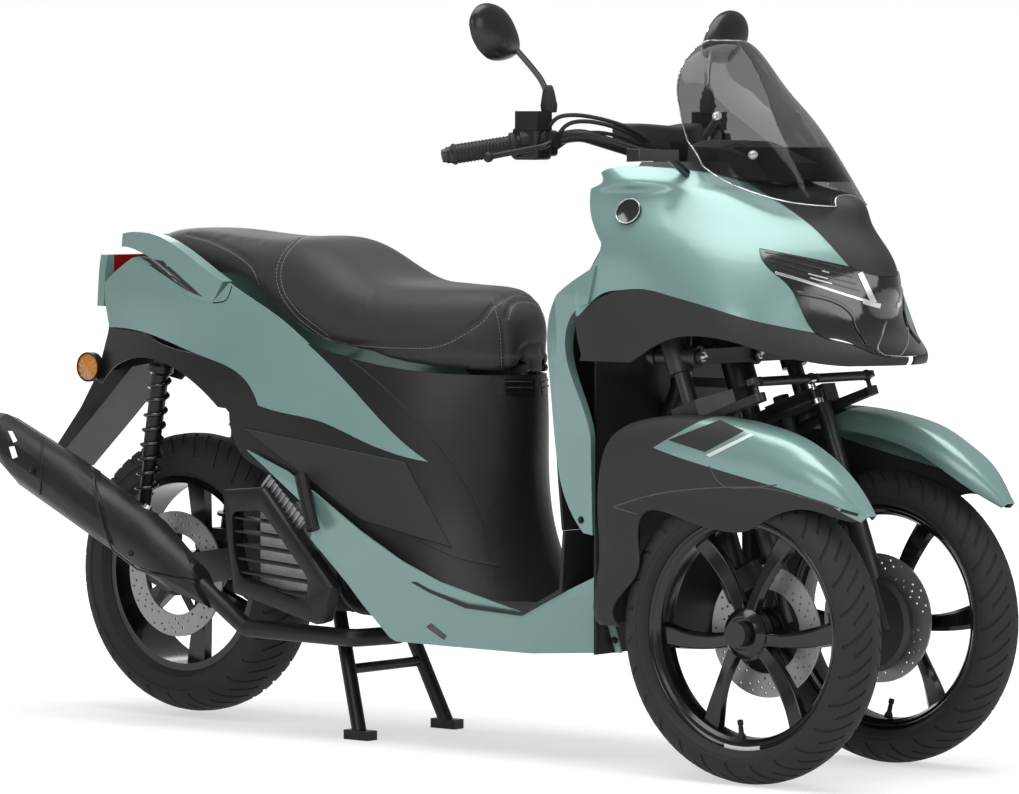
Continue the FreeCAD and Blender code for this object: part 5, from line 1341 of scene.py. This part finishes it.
def makeBar(settings):
    end, knee = Vector(settings["end"]), Vector(settings["knee"])
    along = (knee - end).normalized()
    grips, weights, boxes, hoses, cover, levers = bmesh.new(), bmesh.new(), bmesh.new(), bmesh.new(), bmesh.new(), bmesh.new()
    profile = [(0.0, 0.0140), (0.001, settings["gripRadius"] + 0.001), (0.006, settings["gripRadius"] + 0.001)]
    pitch = (settings["gripLength"] - 0.022) / settings["gripRings"]
    for ring in range(settings["gripRings"]):
        low = 0.008 + ring * pitch
        profile += [(low, settings["gripRadius"] - 0.0009), (low + pitch * 0.30, settings["gripRadius"] - 0.0009),
                    (low + pitch * 0.42, settings["gripRadius"]), (low + pitch * 0.92, settings["gripRadius"])]
    profile += [(settings["gripLength"] - 0.012, 0.0215), (settings["gripLength"] - 0.006, 0.0215), (settings["gripLength"], 0.0165)]
    lathe(grips, profile, end + along * 0.001, along, 32)
    lathe(weights, [(0.0, 0.006), (0.001, 0.0105), (0.008, 0.0125), (0.016, 0.0145), (0.019, 0.0165), (0.021, 0.0165)],
          end - along * 0.0175, along, 28)
    block = Vector((0, 0, 0))
    for low, high in (((-0.030, -0.024, -0.030), (0.024, 0.020, 0.024)), ((-0.020, -0.045, -0.024), (0.022, -0.014, 0.020)),
                      ((-0.016, -0.020, 0.022), (0.020, 0.012, 0.040))):
        verts = addBlock(boxes, low, high)
        block = block + verts[0].co * 0
    spot = end + along * (settings["gripLength"] + 0.026)
    bmesh.ops.translate(boxes, verts=boxes.verts, vec=spot)
    bmesh.ops.bevel(boxes, geom=list(boxes.edges), offset=0.006, segments=3, affect="EDGES", profile=0.5, material=-1)
    for run in settings["hoses"]:
        tubeShape(hoses, [Vector(point) for point in run], settings["hoseRadius"], 8)
    for shape in (grips, weights, boxes, hoses):
        mirrorInY(shape)
    bmesh.ops.create_cube(cover, size=1)
    bmesh.ops.subdivide_edges(cover, edges=cover.edges, cuts=3, use_grid_fill=True)
    for vert in cover.verts:
        side = abs(vert.co.y) * 2
        vert.co.x *= 0.074 - 0.022 * side
        vert.co.z *= 0.052 - 0.012 * side
        vert.co.y *= 0.200
        vert.co += Vector((0.424 - 0.030 * side * side, 0, 1.056 + 0.014 * side))
    addPiece(grips, "gripSleeves", "steering", "rubberBlack", sharp=30)
    addPiece(weights, "barEndWeights", "steering", "satinGloss", sharp=30)
    addPiece(boxes, "switchBoxes", "steering", "satinPlastic", sharp=40)
    addPiece(hoses, "barHoses", "steering", "rubberBlack", sharp=50)
    addPiece(cover, "barCover", "steering", "charcoalPlastic", sharp=180, subdivide=2)
    levers.free()
    return block


makeBar(barSettings)
print("bar and mirrors ready")


# front wheels: a rolled rim, three pairs of twisted blades, a domed hub cap and a valve

wheelSettings = {
    "centre": (0.7475, 0.2, 0.25), "blades": 3, "spreadHub": 15, "spreadRim": 30, "firstTurn": -4, "hubReach": 0.036,
    "rimReach": 0.176, "hubWidth": 0.028, "rimWidth": 0.044, "sections": 9,
    "rimProfile": [(0.0255, 0.1905), (0.0295, 0.1915), (0.0305, 0.1895), (0.0285, 0.1865), (0.0262, 0.1850), (0.0240, 0.1795),
                   (0.0180, 0.1745), (0.0120, 0.1735), (-0.0120, 0.1735), (-0.0180, 0.1745), (-0.0240, 0.1795),
                   (-0.0262, 0.1850), (-0.0285, 0.1865), (-0.0305, 0.1895), (-0.0295, 0.1915), (-0.0255, 0.1905),
                   (-0.0225, 0.1850), (-0.0160, 0.1800), (0.0160, 0.1800), (0.0225, 0.1850)],
    "hubProfile": [(-0.036, 0.024), (-0.036, 0.034), (-0.010, 0.043), (0.010, 0.045), (0.019, 0.042), (0.026, 0.035), (0.0295, 0.030),
                   (0.0295, 0.0265), (0.0275, 0.0255), (0.0275, 0.0)],
}


def addBlade(shape, settings, hubTurn, rimTurn, lean):
    # one spoke: a blade that widens, curves round and twists on its way out to the rim
    rings = []
    for index in range(settings["sections"] + 1):
        part = index / settings["sections"]
        ease = part ** 0.8
        turn = math.radians(hubTurn + (rimTurn - hubTurn) * ease)
        reach = settings["hubReach"] + (settings["rimReach"] - settings["hubReach"]) * part
        width = settings["hubWidth"] + (settings["rimWidth"] - settings["hubWidth"]) * part ** 1.6
        thick = 0.020 - 0.006 * math.sin(math.pi * part)
        out = Vector((math.sin(turn), 0, math.cos(turn)))
        side = Vector((math.cos(turn), 0, -math.sin(turn)))
        twist = lean * 0.35 * math.sin(math.pi * min(part * 1.2, 1.0))
        across = side * math.cos(twist) + Vector((0, 1, 0)) * math.sin(twist)
        deep = Vector((0, 1, 0)) * math.cos(twist) - side * math.sin(twist)
        middle = out * reach + Vector((0, 0.008 * (1 - part) ** 2, 0))
        corners = [(-0.5, -0.15), (-0.36, 0.5), (0.36, 0.5), (0.5, -0.15), (0.3, -0.5), (-0.3, -0.5)]
        rings.append([shape.verts.new(middle + across * width * u + deep * thick * v) for u, v in corners])
    for lower, upper in zip(rings, rings[1:]):
        for step in range(6):
            shape.faces.new((lower[step], lower[(step + 1) % 6], upper[(step + 1) % 6], upper[step]))


def closedProfile(shape, profile, steps=120):
    chain = [shape.verts.new((radius, 0, height)) for height, radius in profile]
    for pair in zip(chain, chain[1:] + chain[:1]):
        shape.edges.new(pair)
    bmesh.ops.spin(shape, geom=list(chain) + list(shape.edges), cent=(0, 0, 0), axis=(0, 0, 1), angle=2 * math.pi,
                   steps=steps, use_merge=True)


def makeWheel(tag, side, node, body, settings):
    centre = Vector(settings["centre"])
    centre.y *= side
    shape = bmesh.new()
    closedProfile(shape, settings["rimProfile"])
    upright = turnedTo(centre, (0, side, 0))
    bmesh.ops.recalc_face_normals(shape, faces=shape.faces)
    bmesh.ops.transform(shape, matrix=upright, verts=shape.verts)
    lathe(shape, settings["hubProfile"], centre, (0, side, 0), 48)
    blades = bmesh.new()
    for pair in range(settings["blades"]):
        middle = settings["firstTurn"] + 120 * pair
        for lean in (-1, 1):
            addBlade(blades, settings, middle + lean * settings["spreadHub"], middle + lean * settings["spreadRim"], lean)
    bmesh.ops.recalc_face_normals(blades, faces=blades.faces)
    if side < 0:
        for vert in blades.verts:
            vert.co.y = -vert.co.y
        bmesh.ops.reverse_faces(blades, faces=blades.faces)
    bmesh.ops.holes_fill(blades, edges=[edge for edge in blades.edges if edge.is_boundary], sides=8)
    bmesh.ops.recalc_face_normals(blades, faces=blades.faces)
    bmesh.ops.translate(blades, verts=blades.verts, vec=centre)
    rim = addPiece(shape, "rimRing_" + tag, body, "wheelBlack", sharp=25)
    spokes = addPiece(blades, "rimBlades_" + tag, body, "wheelBlack", sharp=34, bevel=0.0018)
    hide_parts(node)
    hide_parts(node)
    valve = bmesh.new()
    turn = math.radians(184)
    out = Vector((math.sin(turn), 0, math.cos(turn)))
    foot = centre + out * 0.1735 + Vector((0, side * 0.010, 0))
    lathe(valve, [(0.0, 0.0075), (0.004, 0.007), (0.008, 0.0045), (0.022, 0.0038), (0.023, 0.0050), (0.030, 0.0050), (0.031, 0.003)],
          foot, -out + Vector((0, side * 0.25, 0)), 16)
    addPiece(valve, "tyreValve_" + tag, body, "rubberBlack", sharp=30)


for tag, side in (("left", 1), ("right", -1)):
    bpy.data.objects.remove(dressed["front_rim_" + tag])
    makeWheel(tag, side, "front_rim_" + tag, "wheel_" + tag[0], wheelSettings)
print("front wheels ready")


# seams on the fender skirts

seamSettings = {
    "skirtSeams": [[(613, 507), (640, 515), (671, 523)], [(709, 466), (727, 487), (777, 485)], [(615, 506), (668, 492), (752, 487), (807, 498), (838, 508)]],
    "skirtBolts": [(866, 470)],
    "cowlBolts": [(596, 532), (626, 642)],
    "latch": (505, 374),
}


def makeSeams(settings):
    tree = treeOf("fender_right", "fender_skirt_right")
    runs = [[spot for spot in (seenAt(tree, p.x, p.y) for p in smoothRun([(*q, 0) for q in points])) if spot]
            for points in settings["skirtSeams"]]
    runs = [run for run in runs if len(run) > 2]
    ribbonPiece("skirtSeams_right", runs, 0.0022, 0.0004, "fork_r", "glossBlack")
    ribbonPiece("skirtSeams_left", [otherSide(run) for run in runs], 0.0022, 0.0004, "fork_l", "glossBlack")


makeSeams(seamSettings)


# tail: the red lens between teal cheeks, and a gloss black sheet below the grab handle as painted shade in the opening
# there

tailSettings = {"lensHalf": 0.078, "slot": [(136, 256), (163, 261), (203, 297), (186, 290)]}


def makeTail(settings):
    lens, cheeks = nodeShape("tail_lamp"), nodeShape("tail_lamp")
    for shape, inside in ((lens, True), (cheeks, False)):
        for side in (-1, 1):
            bmesh.ops.bisect_plane(shape, geom=list(shape.verts) + list(shape.edges) + list(shape.faces),
                                   plane_co=(0, side * settings["lensHalf"], 0), plane_no=(0, side, 0), clear_outer=inside)
        if not inside:
            inner = [face for face in shape.faces if abs(face.calc_center_median().y) < settings["lensHalf"]]
            bmesh.ops.delete(shape, geom=inner, context="FACES")
        bmesh.ops.holes_fill(shape, edges=[edge for edge in shape.edges if edge.is_boundary], sides=80)
    piece = addPiece(lens, "tailLens", "chassis", "redLens")
    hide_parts("tail_lamp")
    addPiece(cheeks, "tailCheeks", "chassis", "sagePaint")
    tree = treeOf("tail_panels", "grab_rail")
    # the gloss black sheet below the grab handle is painted shade: it stands in for the shade in the opening under the
    # handle
    slotShape = bmesh.new()
    patchOn(slotShape, lambda across, down: seenAt(tree, across, down), settings["slot"], 12, 4, 0.0002, 0.0004)
    mirrorInY(slotShape)
    addPiece(slotShape, "grabOpeningPaintedShade", "chassis", "glossBlack")


bpy.data.objects.remove(dressed["tail_lamp"])
makeTail(tailSettings)
print("tail ready")


# raised panels, folds and small marks on the body, placed on the near side and mirrored

bodySettings = {
    "sidePanel": [(244, 428), (405, 462), (452, 548), (362, 520)],
    "foldLine": [(330, 346), (372, 378), (420, 425), (462, 482), (480, 520), (490, 560)],
    "lowerFold": [(300, 470), (345, 500), (400, 530), (455, 556), (500, 566)],
    "latchPlate": [(489, 379), (535, 379), (534, 396), (496, 395)],
    "latchBars": [[(504, 382), (532, 382)], [(506, 388), (532, 388)]],
    "sillVent": [(426, 627), (431, 623), (447, 636), (444, 640)],
    "bolts": [(581, 520), (585, 575), (615, 640)],
    "fenderLip": [(770, 489), (800, 498), (830, 507), (858, 515)],
    "tailFold": [(120, 285), (160, 300), (220, 325), (263, 352)],
    "tailGap": [(213, 303), (226, 300), (232, 286)],
    "cowlFold": [(600, 262), (640, 262), (690, 272), (740, 292), (780, 308)],
    "bracket": [(270, 474), (311, 528)],
}


def nearRun(tree, points):
    return [spot for spot in (seenAt(tree, p.x, p.y) for p in smoothRun([(*q, 0) for q in points])) if spot]


def bothSides(tree, points):
    run = nearRun(tree, points)
    return [run, otherSide(run)]


def makeBodyMarks(settings):
    covers = treeOf("side_covers")
    panel = bmesh.new()
    patchOn(panel, lambda across, down: seenAt(covers, across, down), settings["sidePanel"], 20, 10, 0.0004, 0.0026)
    mirrorInY(panel)
    addPiece(panel, "sidePanels", "chassis", "charcoalPlastic", sharp=50, bevel=0.0012)
    ribbonPiece("sideFolds", bothSides(covers, settings["foldLine"]) + bothSides(covers, settings["lowerFold"]), 0.0045, 0.0012,
                "chassis", "satinPlastic", bevel=0.0006)
    latch = bmesh.new()
    patchOn(latch, lambda across, down: seenAt(covers, across, down), settings["latchPlate"], 10, 4, 0.0004, 0.0006)
    mirrorInY(latch)
    addPiece(latch, "latchRecess", "chassis", "glossBlack")
    bars = [run for points in settings["latchBars"] for run in bothSides(covers, points)]
    ribbonPiece("latchBars", bars, 0.0030, 0.0026, "chassis", "blackSteel", bevel=0.0008)
    sill = treeOf("lower_body", "leg_shield")
    vent = bmesh.new()
    patchOn(vent, lambda across, down: seenAt(sill, across, down), settings["sillVent"], 8, 3, 0.0002, 0.0004)
    mirrorInY(vent)
    addPiece(vent, "sillVents", "chassis", "glossBlack")
    spots = [spot for spot in (seenAt(sill, *point) for point in settings["bolts"]) if spot]
    boltPiece("panelBolts", spots + otherSide(spots), 0.0045, "chassis", "blackSteel")
    fender = treeOf("fender_right")
    lip = nearRun(fender, settings["fenderLip"])
    ribbonPiece("fenderLip_right", [lip], 0.0050, 0.0010, "fork_r", "satinPlastic", bevel=0.0004)
    ribbonPiece("fenderLip_left", [otherSide(lip)], 0.0050, 0.0010, "fork_l", "satinPlastic", bevel=0.0004)
    tail = treeOf("tail_panels", "grab_rail")
    ribbonPiece("tailGaps", bothSides(tail, settings["tailGap"]), 0.0022, 0.0004, "chassis", "glossBlack")


makeBodyMarks(bodySettings)


# finned alloy bracket between the sill and the radiator cover

finSettings = {"low": (-0.330, 0.458), "high": (-0.244, 0.378), "near": -0.196, "far": -0.150, "width": 0.026, "teeth": 10}


def makeFinnedBracket(settings):
    shape = bmesh.new()
    low, high = Vector((settings["low"][0], 0, settings["low"][1])), Vector((settings["high"][0], 0, settings["high"][1]))
    along = (high - low).normalized()
    across = Vector((along.z, 0, -along.x))
    length = (high - low).length
    turn = Matrix((across, Vector((0, 1, 0)), along)).transposed().to_4x4()
    addBlock(shape, (-settings["width"] / 2, settings["near"] + 0.004, 0), (settings["width"] / 2, settings["far"], length))
    for index in range(settings["teeth"]):
        z = length * (index + 0.5) / settings["teeth"]
        addBlock(shape, (-settings["width"] * 0.62, settings["near"], z - 0.0022), (settings["width"] * 0.55, settings["near"] + 0.012, z + 0.0022))
    bmesh.ops.transform(shape, matrix=Matrix.Translation(low) @ turn, verts=shape.verts)
    addPiece(shape, "finnedBracket", "chassis", "castAluminium", bevel=0.0008)


# bolts on the lean links and on the head in front

linkSettings = {
    "heights": (0.700, 0.775), "headHeights": (0.640, 0.810), "boltRadius": 0.0060, "headRadius": 0.006,
    "pins": [("framePins", "frame", 0.0), ("leftPins", "carrier_left", 0.16), ("rightPins", "carrier_right", -0.16)],
}


def frontSpot(tree, y, z):
    place, normal, _, _ = tree.ray_cast(Vector((1.5, y, z)), Vector((-1, 0, 0)))
    if place is None:
        return None
    return place, normal if normal.x > 0 else -normal


def makeLinkBolts(settings):
    # the pins that the links turn on end in a bolt: two on the frame, two on each carrier
    for name, node, across in settings["pins"]:
        tree = treeOf(node)
        spots = [frontSpot(tree, across, height) for height in settings["heights"]]
        boltPiece(name, spots, settings["boltRadius"], bodyOf[node], "brightSteel")
    tree = treeOf("frame")
    spots = [frontSpot(tree, 0.0, height) for height in settings["headHeights"]]
    boltPiece("headBolts", spots, settings["headRadius"], "chassis", "brightSteel")


makeFinnedBracket(finSettings)
makeLinkBolts(linkSettings)
print("body marks and fixings ready")


# screen: a silver tube along the polished edge as painted highlight, and the side brackets' bolts

screenSettings = {"bolts": [(717, 116), (753, 155)], "edgeDegrees": 55, "edgeRadius": 0.0011}


def edgeChains(shape, degrees):
    # the sharp edges of a shape, joined end to end
    limit = math.radians(degrees)
    left = {edge for edge in shape.edges if len(edge.link_faces) == 2 and edge.calc_face_angle(0) > limit}
    chains = []
    while left:
        edge = left.pop()
        chain = [edge.verts[0], edge.verts[1]]
        for end in (1, 0):
            while True:
                tip = chain[-1] if end else chain[0]
                following = next((item for item in tip.link_edges if item in left), None)
                if following is None:
                    break
                left.discard(following)
                chain.insert(len(chain) if end else 0, following.other_vert(tip))
        chains.append([vert.co.copy() for vert in chain])
    return chains


def makeScreenHighlightAndBolts(settings):
    shape = nodeShape("windscreen")
    rim = bmesh.new()
    # the silver tube on the screen's sharp edges is a painted highlight: it stands in for the light caught by the clear
    # polished edge
    for chain in edgeChains(shape, settings["edgeDegrees"]):
        if len(chain) > 8:
            tubeShape(rim, chain, settings["edgeRadius"], 6)
    shape.free()
    if rim.faces:
        addPiece(rim, "screenEdgeHighlight", "chassis", "silverTrim", sharp=60)
    tree = treeOf("windscreen")
    spots = [spot for spot in (seenAt(tree, *point) for point in settings["bolts"]) if spot]
    boltPiece("screenBolts", spots + otherSide(spots), 0.0058, "chassis", "brightSteel")


makeScreenHighlightAndBolts(screenSettings)
print("screen ready")


# plain strip and edge light on the near rims

stripSettings = {"from": 168, "to": 190, "radius": 0.1885, "offset": 0.0312}


def makeStrips(settings):
    for tag, side in (("right", -1), ("left", 1)):
        centre = Vector((0.7475, side * 0.2, 0.25))
        spots = []
        for step in range(9):
            turn = math.radians(settings["from"] + (settings["to"] - settings["from"]) * step / 8)
            out = Vector((math.sin(turn), 0, math.cos(turn)))
            spots.append((centre + out * settings["radius"] + Vector((0, side * (settings["offset"] - 0.0012), 0)), Vector((0, side, 0))))
        ribbonPiece("rimStrip_" + tag, [spots], 0.0060, 0.0004, "wheel_" + tag[0], "whiteTape")


makeStrips(stripSettings)


# transmission cover on the left: a raised lid with ribs, a round boss and bolts along its edge

lidSettings = {
    "rear": (-0.650, 0.266, 0.072), "front": (-0.330, 0.300, 0.088), "low": 0.1492, "high": 0.1585, "edge": 0.003,
    "inset": 0.013, "step": 0.0035, "bolts": 14, "ribs": 7,
}


def roundedEnds(rear, front, grow=0.0, steps=18):
    # outline in x and z round two circles of different size
    points = []
    for (x, z, radius), start in ((rear, 90), (front, -90)):
        for index in range(steps + 1):
            turn = math.radians(start + 180 * index / steps)
            points.append((x + (radius + grow) * math.cos(turn), z + (radius + grow) * math.sin(turn)))
    return points


def makeTransmissionLid(settings):
    shape = bmesh.new()
    addPlate(shape, roundedEnds(settings["rear"], settings["front"]), settings["low"], settings["high"])
    outer = [face for face in shape.faces if face.normal.y > 0.9]
    bmesh.ops.inset_region(shape, faces=outer, thickness=settings["inset"], depth=-settings["step"])
    piece = addPiece(shape, "transmissionLid", "chassis", "darkCasting", sharp=30, bevel=0.0016)
    ribs, bolts = bmesh.new(), bmesh.new()
    (x0, z0, _), (x1, z1, _) = settings["rear"], settings["front"]
    face = settings["high"] - settings["step"]
    for index in range(settings["ribs"]):
        part = (index + 1) / (settings["ribs"] + 1)
        x, z = x0 + (x1 - x0) * part, z0 + (z1 - z0) * part
        reach = 0.046 + 0.014 * part
        verts = addBlock(ribs, (x - 0.0022, face - 0.001, z - reach), (x + 0.0022, face + 0.0038, z + reach))
        bmesh.ops.rotate(ribs, verts=verts, cent=(x, face, z), matrix=Matrix.Rotation(math.radians(14), 3, "Y"))
    lathe(ribs, [(0.0, 0.040), (0.004, 0.040), (0.006, 0.036), (0.006, 0.022), (0.002, 0.020), (0.002, 0.0)],
          Vector((x1, face - 0.0005, z1)), (0, 1, 0), 40)
    lathe(ribs, [(0.0, 0.030), (0.004, 0.030), (0.0055, 0.026), (0.0055, 0.0)], Vector((x0, face - 0.0005, z0)), (0, 1, 0), 36)
    ring = roundedEnds(settings["rear"], settings["front"], -settings["inset"] / 2)
    for index in range(settings["bolts"]):
        x, z = ring[round(index * len(ring) / settings["bolts"]) % len(ring)]
        addBolt(bolts, Vector((x, settings["high"] - 0.0006, z)), Vector((0, 1, 0)), 0.0042)
    addPiece(ribs, "transmissionRibs", "chassis", "darkCasting", sharp=30, bevel=0.0008)
    addPiece(bolts, "transmissionBolts", "chassis", "brightSteel", sharp=30)
    return piece


makeTransmissionLid(lidSettings)


# dashboard: blank display in a raised frame

dashSettings = {"display": (0.520, 0.0, 0.062, 0.034), "lock": (0.470, -0.110), "lockRadius": 0.015}


def makeDash(settings):
    tree = treeOf("dashboard", "inner_shield")
    frameShape, glass = bmesh.new(), bmesh.new()
    x, y, halfWide, halfDeep = settings["display"]
    spot = topSpot(tree, x, y)
    if spot:
        place = spot[0]
        verts = addBlock(frameShape, (-halfDeep - 0.008, -halfWide - 0.010, -0.004), (halfDeep + 0.008, halfWide + 0.010, 0.012))
        bmesh.ops.bevel(frameShape, geom=list(frameShape.edges), offset=0.005, segments=3, affect="EDGES", profile=0.5, material=-1)
        addBlock(glass, (-halfDeep, -halfWide, 0.0), (halfDeep, halfWide, 0.0135))
        bmesh.ops.bevel(glass, geom=list(glass.edges), offset=0.0015, segments=2, affect="EDGES", profile=0.5, material=-1)
        lean = Matrix.Translation(place) @ Matrix.Rotation(math.radians(-18), 4, "Y")
        bmesh.ops.transform(frameShape, matrix=lean, verts=frameShape.verts)
        bmesh.ops.transform(glass, matrix=lean, verts=glass.verts)
        addPiece(frameShape, "displayFrame", "chassis", "satinPlastic", sharp=40)
        addPiece(glass, "displayGlass", "chassis", "displayGlass", sharp=40)
        return verts
    frameShape.free()
    glass.free()


makeDash(dashSettings)
print("lid and dashboard ready")


# knee panel: a glove box lid with a round lock, and two pressed lines

kneeSettings = {
    "lid": [(0.055, 0.800), (0.175, 0.800), (0.170, 0.690), (0.060, 0.690)], "lockAt": (0.115, 0.706), "lockRadius": 0.009,
    "lines": [[(-0.185, 0.620), (-0.060, 0.590), (0.060, 0.590), (0.185, 0.620)], [(-0.150, 0.860), (0.0, 0.846), (0.150, 0.860)]],
    "hook": (0.0, 0.655),
}


def rearSpot(tree, y, z):
    place, normal, _, _ = tree.ray_cast(Vector((-0.05, y, z)), Vector((1, 0, 0)))
    if place is None:
        return None
    return place, normal if normal.x < 0 else -normal


def makeKneePanel(settings):
    tree = treeOf("inner_shield")
    lid = bmesh.new()
    patchOn(lid, lambda y, z: rearSpot(tree, y, z), settings["lid"], 14, 12, 0.0004, 0.0030)
    addPiece(lid, "gloveLid", "chassis", "charcoalPlastic", sharp=40, bevel=0.0012)
    lines = [[rearSpot(tree, p.x, p.y) for p in smoothRun([(*q, 0) for q in points])] for points in settings["lines"]]
    ribbonPiece("kneeLines", lines, 0.0050, 0.0014, "chassis", "satinPlastic", bevel=0.0006)
    lock, hook = bmesh.new(), bmesh.new()
    place, normal = rearSpot(tree, *settings["lockAt"])
    radius = settings["lockRadius"]
    lathe(lock, [(0.0, radius * 1.2), (0.004, radius * 1.2), (0.0055, radius), (0.0055, radius * 0.5), (0.0045, radius * 0.45),
                 (0.0045, 0.0)], place, normal, 28)
    place, normal = rearSpot(tree, *settings["hook"])
    arm = [place, place + normal * 0.018, place + normal * 0.024 + Vector((0, 0, -0.014)), place + normal * 0.014 + Vector((0, 0, -0.024)),
           place + normal * 0.026 + Vector((0, 0, -0.034))]
    tubeShape(hook, arm[:4], 0.0032, 8)
    addPiece(lock, "gloveLock", "chassis", "brightSteel", sharp=30)
    addPiece(hook, "bagHook", "chassis", "satinPlastic", sharp=50)


makeKneePanel(kneeSettings)
print("knee panel ready")

makeCamera(cameraSettings)
makeStudio(studioSettings)
bpy.context.scene.view_settings.view_transform = "Standard"
print("studio ready")
